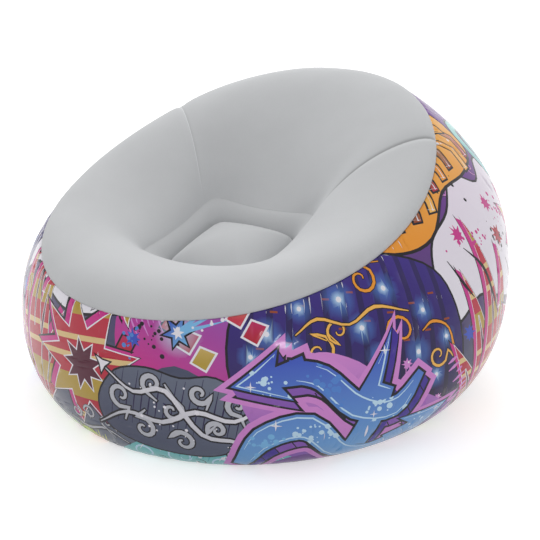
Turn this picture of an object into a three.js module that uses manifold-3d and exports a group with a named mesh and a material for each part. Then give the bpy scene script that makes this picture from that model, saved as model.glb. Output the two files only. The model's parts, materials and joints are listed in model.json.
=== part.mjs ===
// Inflatable armchair: a squashed ball of printed film, cut off aslant and closed by a flocked
// top that swells into a rim and runs down into a bowl with a small pillowed seat.
// Sizes in millimetres. The origin is the centre of the footprint's box on the floor,
// +Z is up and the sitter faces -Y.

import * as THREE from "three";
import { mergeVertices } from "three/addons/utils/BufferGeometryUtils.js";
import Module from "manifold-3d";

const wasm = await Module();
wasm.setup();

// Film. The real film is about 0.35 thick, and is drawn thicker so that each sheet is a sound solid.
const FILM = 2;
const WELD_GAP = 0.3;

// Side wall. Each size has its value at the front, at the sides and at the back.
const BODY_REACH = { front: 555, side: 560, back: 562 };
const FOOT_REACH = { front: 502, side: 414, back: 393 };
const WIDEST_HEIGHT = { front: 165, side: 180, back: 411 };
const SEAM_REACH = { front: 547, side: 410, back: 382 };
const SEAM_HEIGHT = { front: 311, side: 488, back: 650 };
const FOOT_ROUND_SHARE = 1.07;
const SHOULDER_ROUND_SHARE = 2.57;
const LOWER_WALL_SHARE = 0.5;
const LAP_WIDTH = 14;

// Rim and bowl. A section starts at the seam, leaves it upwards with a lean inwards, and comes
// down to the seat weld with a lean outwards.
const RIM_RISE = { front: 91, side: 52, back: 33 };
const RIM_LEAN = { front: 21, side: 16, back: 34 };
const BOWL_RISE = { front: 77, side: 97, back: 319 };
const BOWL_LEAN = { front: 27.5, side: 17, back: 37.5 };

// Back welds, as half angles about the back, at the rim seam and at the seat weld.
const BACK_SEAM_ANGLE = 66.4;
const BACK_SEAT_ANGLE = 53.6;

// Seat: a rounded rectangle that rises towards the back, with lifted corners.
const SEAT_HALF_WIDTH = 147;
const SEAT_HALF_DEPTH = 147;
const SEAT_FORWARD = 138;
const SEAT_HEIGHT = 348;
const SEAT_RISE = 65;
const SEAT_CORNER_LIFT = 17;
const PILLOW_CORNER_LIFT = 4;
const SEAT_SQUARE_SHARE = 7.8;
const BAND_WIDTH = 34;
const BAND_FRONT_WIDTH = 45;
const BAND_DROP = 48;
const BAND_ROUND_SHARE = 0.65;
const PILLOW_CROWN = 60;
const PILLOW_CROWN_SHARE = 2;
const PILLOW_EDGE_SHARE = 0.5;
const PILLOW_CORNER_SHARE = 1.5;

// Inner ties: straight strips under the two seat welds, as long as these shares of the seat's side.
const OUTER_TIE_SHARE = 0.7;
const INNER_TIE_SHARE = 0.66;

// Valve, low in the rear of the side wall, beside the lap.
const VALVE_ANGLE = 205;
const VALVE_HEIGHT = 150;
const WALL_HOLE_RADIUS = 15.5;
const FLANGE_RADIUS = 29;
const FLANGE_THICKNESS = 1.6;
const NECK_BORE_RADIUS = 14;
const NECK_WALL = 2.6;
const NECK_HEIGHT = 8;
const PLUG_CLEARANCE = 0.3;
const PLUG_DEPTH = 14;
const PLUG_RIM_OVERHANG = 1.2;
const PLUG_RIM_THICKNESS = 2.6;
const FILL_BORE_RADIUS = 4.8;
const FLAP_POCKET_RADIUS = 10.5;
const FLAP_POCKET_DEPTH = 4;
const FLAP_RADIUS = 8.6;
const FLAP_THICKNESS = 1;
const CAP_RADIUS = 8;
const CAP_THICKNESS = 2;
const CAP_PLUG_DEPTH = 4.5;
const CAP_PLUG_TOP_RADIUS = 4.45;
const CAP_PLUG_TIP_RADIUS = 3.9;
const STRAP_WIDTH = 6;
const STRAP_THICKNESS = 1.5;
const HINGE_DISTANCE = 15.5;
const GRIP_TAB_LENGTH = 4;

// How finely the surfaces are divided.
const ARM_COLUMNS = 44;
const BACK_COLUMNS = 24;
const TOP_ROWS = 12;
const WALL_ROWS = 14;
const BAND_ROWS = 3;
const PILLOW_ROWS = 6;
const PILLOW_ROW_SHARE = 1.5;
const ROUND_SIDES = 28;
const NORMAL_STEP_SHARE = 0.0005;

const radians = THREE.MathUtils.degToRad;

// Moves the footprint's box onto the origin, because the back reaches out further than the front.
const PLAN_SHIFT = (BODY_REACH.front - BODY_REACH.back) / 2;

// A size at one angle round the chair, from its front, side and back values.
// Angle 0 is the front, and a quarter turn is the side at +X.
function around(size, angle) {
  const c = -Math.cos(angle);
  const lengthwise = ((size.back - size.front) / 2) * c;
  const squared = ((size.back + size.front) / 2 - size.side) * c * c;
  return size.side + lengthwise + squared;
}

function planPoint(angle, radius, height) {
  return new THREE.Vector3(radius * Math.sin(angle), PLAN_SHIFT - radius * Math.cos(angle), height);
}

// Side wall: a rounded foot from the floor to the widest height, then a shoulder up to the seam.
function wallAt(angle, share) {
  const foot = around(FOOT_REACH, angle);
  const reach = around(BODY_REACH, angle);
  const widest = around(WIDEST_HEIGHT, angle);
  if (share < LOWER_WALL_SHARE) {
    const turn = ((share / LOWER_WALL_SHARE) * Math.PI) / 2;
    const out = Math.sin(turn) ** FOOT_ROUND_SHARE;
    const up = 1 - Math.cos(turn) ** FOOT_ROUND_SHARE;
    return planPoint(angle, foot + (reach - foot) * out, widest * up);
  }
  const climb = (share - LOWER_WALL_SHARE) / (1 - LOWER_WALL_SHARE);
  const inwards = (reach - around(SEAM_REACH, angle)) * climb ** SHOULDER_ROUND_SHARE;
  const height = widest + (around(SEAM_HEIGHT, angle) - widest) * climb;
  return planPoint(angle, reach - inwards, height);
}

// A point of a rounded rectangle about the seat's centre, drawn in from the outer weld.
function seatRing(angle, inset, frontInset, drop, cornerLift) {
  const halfDepth = SEAT_HALF_DEPTH - (inset + frontInset) / 2;
  const halfWidth = SEAT_HALF_WIDTH - inset;
  const sine = Math.abs(Math.sin(angle)) / halfWidth;
  const cosine = Math.abs(Math.cos(angle)) / halfDepth;
  const radius = (sine ** SEAT_SQUARE_SHARE + cosine ** SEAT_SQUARE_SHARE) ** (-1 / SEAT_SQUARE_SHARE);
  const x = radius * Math.sin(angle);
  const y = -radius * Math.cos(angle);
  const back = y + (frontInset - inset) / 2;
  const corner = ((x * y) / (halfWidth * halfDepth)) ** 2;
  const rise = (SEAT_RISE * back) / (2 * SEAT_HALF_DEPTH);
  const height = SEAT_HEIGHT + rise + cornerLift * corner - drop;
  return new THREE.Vector3(x, PLAN_SHIFT - SEAT_FORWARD + back, height);
}

const outerWeld = (angle) => seatRing(angle, 0, 0, 0, SEAT_CORNER_LIFT);
const innerWeld = (angle) => seatRing(angle, BAND_WIDTH, BAND_FRONT_WIDTH, BAND_DROP, PILLOW_CORNER_LIFT);

// The flocked top between the rim seam and the outer seat weld, as a cubic curve per section.
function topAt(seamAngle, seatAngle, share) {
  const seam = wallAt(seamAngle, 1);
  const weld = outerWeld(seatAngle);
  const outwards = seam.clone().sub(weld).setZ(0).normalize();
  const rimLean = radians(around(RIM_LEAN, seamAngle));
  const bowlLean = radians(around(BOWL_LEAN, seamAngle));
  const rim = outwards.clone().multiplyScalar(-Math.sin(rimLean)).setZ(Math.cos(rimLean));
  const bowl = outwards.clone().multiplyScalar(Math.sin(bowlLean)).setZ(Math.cos(bowlLean));
  rim.multiplyScalar(around(RIM_RISE, seamAngle)).add(seam);
  bowl.multiplyScalar(around(BOWL_RISE, seamAngle)).add(weld);
  const section = new THREE.CubicBezierCurve3(seam, rim, bowl, weld);
  return section.getPoint(share);
}

const backSeam = radians(BACK_SEAM_ANGLE);
const backSeat = radians(BACK_SEAT_ANGLE);

// Seat: the band rolls over and down from the outer weld to the inner one, and the pillow domes
// up from there. Its rings are squares at the weld and grow rounder towards the middle.
const SEAT_ROWS = BAND_ROWS + PILLOW_ROWS;
const bandShare = BAND_ROWS / SEAT_ROWS;

function bandAt(angle, along) {
  const outer = outerWeld(angle);
  const inner = innerWeld(angle);
  const turn = (along * Math.PI) / 2;
  const inset = along + BAND_ROUND_SHARE * (Math.sin(turn) - along);
  const drop = along + BAND_ROUND_SHARE * (1 - Math.cos(turn) - along);
  return outer.clone().lerp(inner, inset).setZ(outer.z + (inner.z - outer.z) * drop);
}

function pillowAt(angle, outwards) {
  const middle = innerWeld(0).add(innerWeld(Math.PI)).multiplyScalar(1 / 2);
  const halfWidth = new THREE.Vector3(SEAT_HALF_WIDTH - BAND_WIDTH, 0, 0);
  const halfDepth = innerWeld(0).sub(middle);
  const round = halfWidth.multiplyScalar(Math.sin(angle)).addScaledVector(halfDepth, Math.cos(angle));
  const rim = round.lerp(innerWeld(angle).sub(middle), outwards ** PILLOW_CORNER_SHARE);
  const dome = (1 - outwards ** PILLOW_CROWN_SHARE) ** PILLOW_EDGE_SHARE;
  const point = middle.addScaledVector(rim, outwards);
  return point.setZ(point.z + PILLOW_CROWN * dome);
}

function seatAt(angle, share) {
  if (share < bandShare) return bandAt(angle, share / bandShare);
  const inwards = (share - bandShare) / (1 - bandShare);
  return pillowAt(angle, 1 - inwards ** PILLOW_ROW_SHARE);
}

// The skin is one grid of points. Its columns go once round the chair, first the arms and the
// front, then the back rest. Its rows climb the side wall, cross the top and end in the pillow.
const COLUMNS = ARM_COLUMNS + BACK_COLUMNS;
const TOP_START = WALL_ROWS;
const SEAT_START = TOP_START + TOP_ROWS;
const SKIN_ROWS = SEAT_START + SEAT_ROWS;

// Angle of a column at the rim seam or at the seat weld, from that weld's half angle about the back.
function columnAngle(column, half) {
  if (column < ARM_COLUMNS) return (2 * (column / ARM_COLUMNS) - 1) * (Math.PI - half);
  return Math.PI + (2 * ((column - ARM_COLUMNS) / BACK_COLUMNS) - 1) * half;
}

function skinPoint(column, row) {
  const seamAngle = columnAngle(column, backSeam);
  const seatAngle = columnAngle(column, backSeat);
  if (row <= TOP_START) return wallAt(seamAngle, row / WALL_ROWS);
  if (row < SEAT_START) return topAt(seamAngle, seatAngle, (row - TOP_START) / TOP_ROWS);
  return seatAt(seatAngle, (row - SEAT_START) / SEAT_ROWS);
}

const counted = (count, make) => Array.from({ length: count }, (_, i) => make(i));
const skin = counted(COLUMNS, (column) => counted(SKIN_ROWS + 1, (row) => skinPoint(column, row)));

// Normals of the facets round one point of the skin.
function facetNormals(i, j) {
  const normals = [];
  for (const column of [i - 1, i]) {
    for (const row of [j - 1, j]) {
      if (row < 0 || row >= SKIN_ROWS) continue;
      const left = skin[(column + COLUMNS) % COLUMNS];
      const right = skin[(column + 1) % COLUMNS];
      const across = right[row + 1].clone().sub(left[row]);
      normals.push(across.cross(left[row + 1].clone().sub(right[row])).normalize());
    }
  }
  return normals;
}

// The step outwards that keeps the same distance from every one of the facets at a point.
// The film lies flat on the floor at its foot, and level in the middle of the pillow.
function stepOut(i, j) {
  if (j === SKIN_ROWS) return new THREE.Vector3(0, 0, 1);
  const normals = facetNormals(i, j);
  if (j === 0) normals.push(new THREE.Vector3(0, 0, -1), new THREE.Vector3(0, 0, -1));
  const sum = normals.reduce((total, normal) => total.add(normal), new THREE.Vector3()).normalize();
  const share = normals.reduce((total, normal) => total + normal.dot(sum), 0) / normals.length;
  return sum.divideScalar(share);
}

const stepsOut = skin.map((column, i) => column.map((_, j) => stepOut(i, j)));

// Outward normal of the side wall itself, from small steps along it.
function wallNormal(angle, share) {
  const step = NORMAL_STEP_SHARE;
  const along = wallAt(angle + step, share).sub(wallAt(angle - step, share));
  const across = wallAt(angle, share + step).sub(wallAt(angle, share - step));
  return along.cross(across).normalize();
}

// A closed solid between two grids of points, the first one outside. A grid that wraps joins its
// last column to its first, and one with a pole closes its last row to a point.
function solidBetween(outer, inner, wraps, pole) {
  const columns = outer.length;
  const rows = outer[0].length;
  const last = rows - 1;
  const place = (side) => (i, j) => {
    const column = pole && j === last ? 0 : i % columns;
    return (side * columns + column) * rows + j;
  };
  const out = place(0);
  const into = place(1);
  const faces = [];
  const quad = (a, b, c, d) => {
    if (b !== c) faces.push(a, b, c);
    if (c !== d) faces.push(a, c, d);
  };
  const spans = wraps ? columns : columns - 1;
  for (let i = 0; i < spans; i += 1) {
    for (let j = 0; j < last; j += 1) {
      quad(out(i, j), out(i + 1, j), out(i + 1, j + 1), out(i, j + 1));
      quad(into(i, j), into(i, j + 1), into(i + 1, j + 1), into(i + 1, j));
    }
    quad(out(i + 1, 0), out(i, 0), into(i, 0), into(i + 1, 0));
    if (!pole) quad(out(i, last), out(i + 1, last), into(i + 1, last), into(i, last));
  }
  for (let j = 0; j < last && !wraps; j += 1) {
    quad(out(0, j), out(0, j + 1), into(0, j + 1), into(0, j));
    quad(out(spans, j + 1), out(spans, j), into(spans, j), into(spans, j + 1));
  }
  const points = [...outer, ...inner].flat().flatMap((point) => point.toArray());
  const geometry = new THREE.BufferGeometry();
  geometry.setAttribute("position", new THREE.Float32BufferAttribute(points, 3));
  return geometry.setIndex(faces);
}

// One sheet of film, cut from the skin. An edge that is welded to another sheet stops half a weld
// gap short of it.
function sheetOfFilm(columns, firstRow, lastRow) {
  const wraps = columns.length === COLUMNS;
  const pole = lastRow === SKIN_ROWS;
  const lastColumn = columns.length - 1;
  const at = (i, j) => skin[columns[i]][j];
  const towards = (point, next) => next.clone().sub(point).setLength(WELD_GAP / 2);
  const outer = [];
  const inner = [];
  columns.forEach((column, i) => {
    outer.push([]);
    inner.push([]);
    for (let j = firstRow; j <= lastRow; j += 1) {
      const point = at(i, j);
      const moved = point.clone();
      if (j === firstRow && j > 0) moved.add(towards(point, at(i, j + 1)));
      if (j === lastRow && !pole) moved.add(towards(point, at(i, j - 1)));
      if (i === 0 && !wraps) moved.add(towards(point, at(1, j)));
      if (i === lastColumn && !wraps) moved.add(towards(point, at(i - 1, j)));
      outer[i].push(moved);
      inner[i].push(moved.clone().addScaledVector(stepsOut[column][j], -FILM));
    }
  });
  return solidBetween(outer, inner, wraps, pole);
}

const allColumns = counted(COLUMNS, (i) => i);
const armColumns = counted(ARM_COLUMNS + 1, (i) => i);
const backColumns = counted(BACK_COLUMNS + 1, (i) => (ARM_COLUMNS + i) % COLUMNS);

// Manifold solids for the cuts and joins.
function solidOf(geometry) {
  const bare = geometry.clone();
  bare.deleteAttribute("normal");
  bare.deleteAttribute("uv");
  const merged = mergeVertices(bare);
  return new wasm.Manifold(
    new wasm.Mesh({
      numProp: 3,
      vertProperties: new Float32Array(merged.attributes.position.array),
      triVerts: new Uint32Array(merged.index.array),
    }),
  );
}

function geometryOf(solid) {
  const mesh = solid.getMesh();
  const geometry = new THREE.BufferGeometry();
  geometry.setAttribute("position", new THREE.BufferAttribute(mesh.vertProperties, mesh.numProp));
  geometry.setIndex(new THREE.BufferAttribute(mesh.triVerts, 1));
  return geometry;
}

// Materials
const finish = (color, roughness) => new THREE.MeshStandardMaterial({ color, roughness, metalness: 0 });
const printedFilm = () => finish(0x5a5f9c, 0.3);
const flockedFilm = () => finish(0xc6c7ca, 0.95);
const plainFilm = () => finish(0x6f7377, 0.4);
const clearFilm = () => finish(0xd9dde0, 0.35);
const valvePlastic = () => finish(0xe4e6e8, 0.4);
const flapRubber = () => finish(0x2d2f31, 0.7);

function piece(name, geometry, material) {
  const mesh = new THREE.Mesh(geometry, material);
  mesh.name = name;
  return mesh;
}

// The flocked top and the seat
function makeTop() {
  return [
    piece("arm_and_front_panel", sheetOfFilm(armColumns, TOP_START, SEAT_START), flockedFilm()),
    piece("back_rest_panel", sheetOfFilm(backColumns, TOP_START, SEAT_START), flockedFilm()),
    piece("seat_panel", sheetOfFilm(allColumns, SEAT_START, SKIN_ROWS), flockedFilm()),
  ];
}

// Where the valve stands on the side wall's facets, and which way it faces.
function valvePlace() {
  const angle = radians(VALVE_ANGLE);
  const up = 1 - VALVE_HEIGHT / around(WIDEST_HEIGHT, angle);
  const turn = Math.acos(up ** (1 / FOOT_ROUND_SHARE));
  const share = (LOWER_WALL_SHARE * turn) / (Math.PI / 2);
  const outwards = wallNormal(angle, share);
  const level = new THREE.Vector3(0, 0, 1).cross(outwards).normalize();
  const matrix = new THREE.Matrix4().makeBasis(level, outwards.clone().cross(level), outwards);
  const column = allColumns.findLast((i) => columnAngle(i, backSeam) <= angle);
  const row = Math.floor(share * WALL_ROWS);
  const left = columnAngle(column, backSeam);
  const across = (angle - left) / (columnAngle(column + 1, backSeam) - left);
  const low = skin[column][row].clone().lerp(skin[column + 1][row], across);
  const high = skin[column][row + 1].clone().lerp(skin[column + 1][row + 1], across);
  return { angle, matrix: matrix.setPosition(low.lerp(high, share * WALL_ROWS - row)) };
}

const valve = valvePlace();

// A cylinder or ring about the valve's axis, from one height to another above the wall.
function valveRound(radius, from, to) {
  const shape = new THREE.CylinderGeometry(radius, radius, to - from, ROUND_SIDES);
  return shape.rotateX(Math.PI / 2).translate(0, 0, (from + to) / 2);
}

// Side wall, lapped at the rear, with the valve's hole
function makeWall() {
  const wall = sheetOfFilm(allColumns, 0, TOP_START);
  const lapTurn = LAP_WIDTH / 2 / BODY_REACH.back;
  const lapColumn = (angle, depth) =>
    counted(WALL_ROWS - 1, (i) => (i + 1) / WALL_ROWS).map((share) =>
      wallAt(angle, share).addScaledVector(wallNormal(angle, share), -depth),
    );
  const sides = [Math.PI - lapTurn, Math.PI + lapTurn];
  const lap = solidBetween(
    sides.map((angle) => lapColumn(angle, FILM / 2 + WELD_GAP)),
    sides.map((angle) => lapColumn(angle, 2 * FILM)),
    false,
    false,
  );
  const hole = valveRound(WALL_HOLE_RADIUS, -FLANGE_RADIUS, FLANGE_RADIUS).applyMatrix4(valve.matrix);
  const cut = solidOf(wall).add(solidOf(lap)).subtract(solidOf(hole));
  return piece("printed_side_wall", geometryOf(cut), printedFilm());
}

// The flat underside, inside the foot of the side wall, with its upper edge drawn in a little
function makeBase() {
  const disc = (height, clearance) =>
    allColumns.map((column) => {
      const angle = columnAngle(column, backSeam);
      return [planPoint(angle, around(FOOT_REACH, angle) - clearance, height), planPoint(0, 0, height)];
    });
  const base = solidBetween(disc(FILM, WELD_GAP + FILM / 2), disc(0, WELD_GAP), true, true);
  return piece("base_sheet", base, plainFilm());
}

// Everything above the underside of the seat and of the bowl round it, to cut the ties' tops.
function aboveTheSeat() {
  const firstRow = TOP_START + TOP_ROWS / 2;
  const underside = skin.map((column, i) =>
    column
      .map((point, j) => point.clone().addScaledVector(stepsOut[i][j], -FILM - WELD_GAP))
      .slice(firstRow),
  );
  const lid = underside.map((column) => column.map((point) => point.clone().setZ(2 * SEAM_HEIGHT.back)));
  return solidOf(solidBetween(lid, underside, true, true));
}

// Straight strips of film from the base sheet up to the two seat welds
function makeTies() {
  const above = aboveTheSeat();
  const foot = FILM + WELD_GAP;
  const strip = (name, x, y, width, depth) => {
    const box = new THREE.BoxGeometry(width, depth, SEAT_HEIGHT + SEAT_RISE);
    const middle = foot + (SEAT_HEIGHT + SEAT_RISE) / 2;
    const cut = solidOf(box.translate(x, y, middle)).subtract(above);
    return piece(name, geometryOf(cut), clearFilm());
  };
  const ring = (kind, inset, frontInset, share) => {
    const front = seatRing(0, inset, frontInset, 0, 0).y + FILM;
    const back = seatRing(Math.PI, inset, frontInset, 0, 0).y - FILM;
    const side = SEAT_HALF_WIDTH - inset - FILM;
    const width = 2 * side * share;
    const depth = (back - front) * share;
    const middle = (front + back) / 2;
    return [
      strip(kind + "_tie_front", 0, front, width, FILM),
      strip(kind + "_tie_back", 0, back, width, FILM),
      strip(kind + "_tie_left", -side, middle, FILM, depth),
      strip(kind + "_tie_right", side, middle, FILM, depth),
    ];
  };
  return [
    ...ring("outer", 0, 0, OUTER_TIE_SHARE),
    ...ring("inner", BAND_WIDTH, BAND_FRONT_WIDTH, INNER_TIE_SHARE),
  ];
}

// Heights above the wall along the valve's axis
const flangeTop = WELD_GAP + FLANGE_THICKNESS;
const neckTop = flangeTop + NECK_HEIGHT;
const plugRimBottom = neckTop + PLUG_CLEARANCE;
const plugTop = plugRimBottom + PLUG_RIM_THICKNESS;
const plugBottom = plugTop - PLUG_DEPTH;
const flapSeat = plugBottom + FLAP_POCKET_DEPTH;
const capBottom = plugTop + PLUG_CLEARANCE;

// Turns a closed outline of [radius, height] pairs about the valve's axis.
function valveTurned(outline) {
  const closed = [...outline, outline[0]];
  const profile = closed.map(([radius, height]) => new THREE.Vector2(radius, height));
  return new THREE.LatheGeometry(profile, ROUND_SIDES).rotateX(Math.PI / 2);
}

// Flange that follows the wall's facets, with the neck on it
function makeValveBase() {
  const near = (3 * FLANGE_RADIUS) / FOOT_REACH.back;
  const columns = allColumns.filter((column) => Math.abs(columnAngle(column, backSeam) - valve.angle) < near);
  const lifted = (column, row, height) =>
    skin[column][row].clone().addScaledVector(stepsOut[column][row], height);
  const layer = (height) =>
    columns.map((column) => counted(WALL_ROWS - 1, (i) => lifted(column, i + 1, height)));
  const between = (top, bottom) => solidOf(solidBetween(layer(top), layer(bottom), false, false));
  const standing = (radius, from, to) => solidOf(valveRound(radius, from, to).applyMatrix4(valve.matrix));
  const round = standing(FLANGE_RADIUS, -FLANGE_RADIUS, FLANGE_RADIUS);
  const flange = between(flangeTop, WELD_GAP).intersect(round);
  const neck = standing(NECK_BORE_RADIUS + NECK_WALL, -NECK_HEIGHT / 2, neckTop);
  const bore = standing(NECK_BORE_RADIUS, -FLANGE_RADIUS, FLANGE_RADIUS);
  const base = flange.add(neck.subtract(between(WELD_GAP, -NECK_HEIGHT))).subtract(bore);
  return piece("valve_base", geometryOf(base), valvePlastic());
}

// Stopper in the neck, with the filling bore and a pocket for the flap
function makeValvePlug() {
  const barrel = NECK_BORE_RADIUS - PLUG_CLEARANCE;
  const rim = NECK_BORE_RADIUS + NECK_WALL + PLUG_RIM_OVERHANG;
  const outline = [
    [FILL_BORE_RADIUS, plugTop],
    [FILL_BORE_RADIUS, flapSeat],
    [FLAP_POCKET_RADIUS, flapSeat],
    [FLAP_POCKET_RADIUS, plugBottom],
    [barrel, plugBottom],
    [barrel, plugRimBottom],
    [rim, plugRimBottom],
    [rim, plugTop],
  ];
  return piece("valve_plug", valveTurned(outline), valvePlastic());
}

// Flap that closes the filling bore from inside
function makeCheckFlap() {
  const top = flapSeat - PLUG_CLEARANCE;
  return piece("check_flap", valveRound(FLAP_RADIUS, top - FLAP_THICKNESS, top), flapRubber());
}

// Small cap with its tapered plug, a grip tab and the strap that ends in a round hinge
function makeFillerCap() {
  const capTop = capBottom + CAP_THICKNESS;
  const outline = [
    [0, capBottom - CAP_PLUG_DEPTH],
    [CAP_PLUG_TIP_RADIUS, capBottom - CAP_PLUG_DEPTH],
    [CAP_PLUG_TOP_RADIUS, capBottom],
    [CAP_RADIUS, capBottom],
    [CAP_RADIUS, capTop],
    [0, capTop],
  ];
  const disc = new THREE.LatheGeometry(outline.map(([r, z]) => new THREE.Vector2(r, z)), ROUND_SIDES);
  disc.rotateX(Math.PI / 2);
  const strapLength = HINGE_DISTANCE - CAP_RADIUS / 2;
  const strap = new THREE.BoxGeometry(STRAP_WIDTH, strapLength, STRAP_THICKNESS);
  const strapMiddle = capBottom + STRAP_THICKNESS / 2;
  strap.translate(0, HINGE_DISTANCE - strapLength / 2, strapMiddle);
  const hingeRadius = STRAP_THICKNESS / 2;
  const hinge = new THREE.CylinderGeometry(hingeRadius, hingeRadius, STRAP_WIDTH, ROUND_SIDES / 2);
  hinge.rotateZ(Math.PI / 2).translate(0, HINGE_DISTANCE, strapMiddle);
  const tab = new THREE.BoxGeometry(STRAP_WIDTH, CAP_RADIUS / 2 + GRIP_TAB_LENGTH, STRAP_THICKNESS);
  tab.translate(0, -(CAP_RADIUS + GRIP_TAB_LENGTH) + (CAP_RADIUS / 2 + GRIP_TAB_LENGTH) / 2, strapMiddle);
  const cap = solidOf(disc).add(solidOf(strap)).add(solidOf(hinge)).add(solidOf(tab));
  return piece("filler_cap", geometryOf(cap), valvePlastic());
}

// The chair
const chair = new THREE.Group();
const movingValveParts = new THREE.Group();
movingValveParts.applyMatrix4(valve.matrix);
movingValveParts.add(makeValvePlug(), makeCheckFlap(), makeFillerCap());
chair.add(makeWall(), makeBase(), ...makeTop(), ...makeTies(), makeValveBase(), movingValveParts);

export default chair;
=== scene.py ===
import json
import math
from collections import namedtuple

import bmesh
import bpy
import numpy as np
from bpy.props import FloatProperty, FloatVectorProperty, IntProperty, PointerProperty
from bpy.types import Operator, Panel, PropertyGroup
from mathutils import Matrix, Vector
from mathutils.geometry import delaunay_2d_cdt


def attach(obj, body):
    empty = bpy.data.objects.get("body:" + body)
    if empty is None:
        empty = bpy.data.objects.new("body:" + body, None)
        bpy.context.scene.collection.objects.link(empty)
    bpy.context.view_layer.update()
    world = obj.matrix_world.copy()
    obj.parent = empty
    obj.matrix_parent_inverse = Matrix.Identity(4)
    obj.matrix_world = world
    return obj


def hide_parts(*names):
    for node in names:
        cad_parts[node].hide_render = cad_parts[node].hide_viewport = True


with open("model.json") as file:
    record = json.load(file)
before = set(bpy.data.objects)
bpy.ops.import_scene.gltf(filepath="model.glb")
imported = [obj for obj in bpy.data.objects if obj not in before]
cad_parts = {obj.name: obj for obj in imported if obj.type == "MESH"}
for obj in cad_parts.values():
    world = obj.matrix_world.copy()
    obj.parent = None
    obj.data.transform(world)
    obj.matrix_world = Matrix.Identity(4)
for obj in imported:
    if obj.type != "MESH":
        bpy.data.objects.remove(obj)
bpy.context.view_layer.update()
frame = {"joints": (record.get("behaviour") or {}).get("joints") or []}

bl_info = {
    "name": "Inflatable Armchair",
    "version": (1, 0, 0),
    "blender": (4, 5, 0),
    "location": "3D View > Sidebar > Armchair",
    "description": "Builds a round inflatable armchair with a flocked bowl and a printed side wall",
    "category": "Add Mesh",
}

# The chair's shape in metres and degrees. Each triple has the values at the front, side and back.
BODY_REACH = (0.555, 0.560, 0.562)
FOOT_REACH = (0.502, 0.414, 0.393)
WIDEST_HEIGHT = (0.165, 0.180, 0.411)
SEAM_REACH = (0.547, 0.410, 0.382)
SEAM_HEIGHT = (0.311, 0.488, 0.650)
FOOT_ROUND_SHARE = 1.07
SHOULDER_ROUND_SHARE = 2.57
LOWER_WALL_SHARE = 0.5
RIM_RISE = (0.091, 0.052, 0.033)
RIM_LEAN = (21, 16, 34)
BOWL_RISE = (0.077, 0.097, 0.319)
BOWL_LEAN = (27.5, 17, 37.5)
BACK_SEAM = math.radians(66.4)
BACK_SEAT = math.radians(53.6)
SEAT_HALF = 0.147
SEAT_FORWARD = 0.138
SEAT_HEIGHT = 0.348
SEAT_RISE = 0.065
SEAT_CORNER_LIFT = 0.017
PILLOW_CORNER_LIFT = 0.004
SEAT_SQUARE_SHARE = 7.8
BAND_WIDTH = 0.034
BAND_FRONT_WIDTH = 0.045
BAND_DROP = 0.048
BAND_ROUND_SHARE = 0.65
PILLOW_CROWN = 0.060
PILLOW_CROWN_SHARE = 2.0
PILLOW_EDGE_SHARE = 0.5
PILLOW_CORNER_SHARE = 1.5
BAND_SHARE = 3 / 8
PLAN_SHIFT = (BODY_REACH[0] - BODY_REACH[2]) / 2
BODY_CENTRE = (0.0, 0.0, 0.25)

# Welds, each with the valley that it pulls into the film, the thin bead along its line and the
# puckers that run out from it, counted over one turn round the chair or the length of a back weld.
Weld = namedtuple("Weld", "depth width round bead pucker count reach")
RIM_WELD = Weld(depth=0.0035, width=0.0035, round=1, bead=0, pucker=0.0012, count=150, reach=0.016)
FOOT_WELD = Weld(depth=0, width=0.004, round=1, bead=0, pucker=0.0016, count=76, reach=0.040)
BACK_WELD = Weld(depth=0.0048, width=0.0095, round=1.4, bead=0.0006, pucker=0.0004, count=24, reach=0.012)
SEAT_WELD = Weld(depth=0, width=0.003, round=1, bead=0.0005, pucker=0.0003, count=38, reach=0.012)
CREASE = Weld(depth=0.0015, width=0.003, round=1, bead=0, pucker=0.0004, count=48, reach=0.010)
BEAD_HALF_WIDTH = 0.0013
REST_BACK_WELD = BACK_WELD._replace(width=0.022)

# Painted light and shade beside the back welds, each a share of the flock colour and a width, at a
# panel's first and last edge: a painted highlight at the arm sheet's first edge and painted shade at its
# last, and painted shade at both edges of the back rest, in the crease.
ARM_WELD_HIGHLIGHT_AND_SHADE = ((0.34, 0.0018), (-0.20, 0.0018))
REST_WELD_SHADE = ((-0.45, 0.0080), (-0.10, 0.0050))
WELD_RIM_FADE, WELD_SEAT_FADE = 0.008, 0.070

# A pucker lies the middle's share of its height below the smooth film, and the rest above it. The
# waves of the swell add up to its limit at most. Film below the foot's height lies flat.
PUCKER_MIDDLE = 0.6
SWELL_LIMIT = 3.5
FLAT_FOOT_HEIGHT = 0.002
NORMAL_STEP = 0.0005
TINY = 1e-6


# The chair's surfaces
def around(size, angle):
    """A size at one angle round the chair, which is 0 at the front and a quarter turn at +X."""
    front, side, back = size
    c = -np.cos(angle)
    return side + (back - front) / 2 * c + ((back + front) / 2 - side) * c * c


def plan_point(angle, radius, height):
    x, y = radius * np.sin(angle), PLAN_SHIFT - radius * np.cos(angle)
    return np.stack(np.broadcast_arrays(x, y, height), axis=-1)


def unit(vectors):
    return vectors / np.maximum(np.linalg.norm(vectors, axis=-1, keepdims=True), TINY * TINY)


def wall_at(angle, share):
    """Side wall: a rounded foot up to the widest height, then a shoulder up to the rim seam."""
    foot, reach = around(FOOT_REACH, angle), around(BODY_REACH, angle)
    widest = around(WIDEST_HEIGHT, angle)
    turn = np.clip(share / LOWER_WALL_SHARE, 0, 1) * math.pi / 2
    out = np.sin(turn) ** FOOT_ROUND_SHARE
    up = 1 - np.abs(np.cos(turn)) ** FOOT_ROUND_SHARE
    climb = np.clip((share - LOWER_WALL_SHARE) / (1 - LOWER_WALL_SHARE), 0, 1)
    inwards = (reach - around(SEAM_REACH, angle)) * climb**SHOULDER_ROUND_SHARE
    radius = foot + (reach - foot) * out - inwards
    height = widest * up + (around(SEAM_HEIGHT, angle) - widest) * climb
    return plan_point(angle, radius, height)


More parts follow.
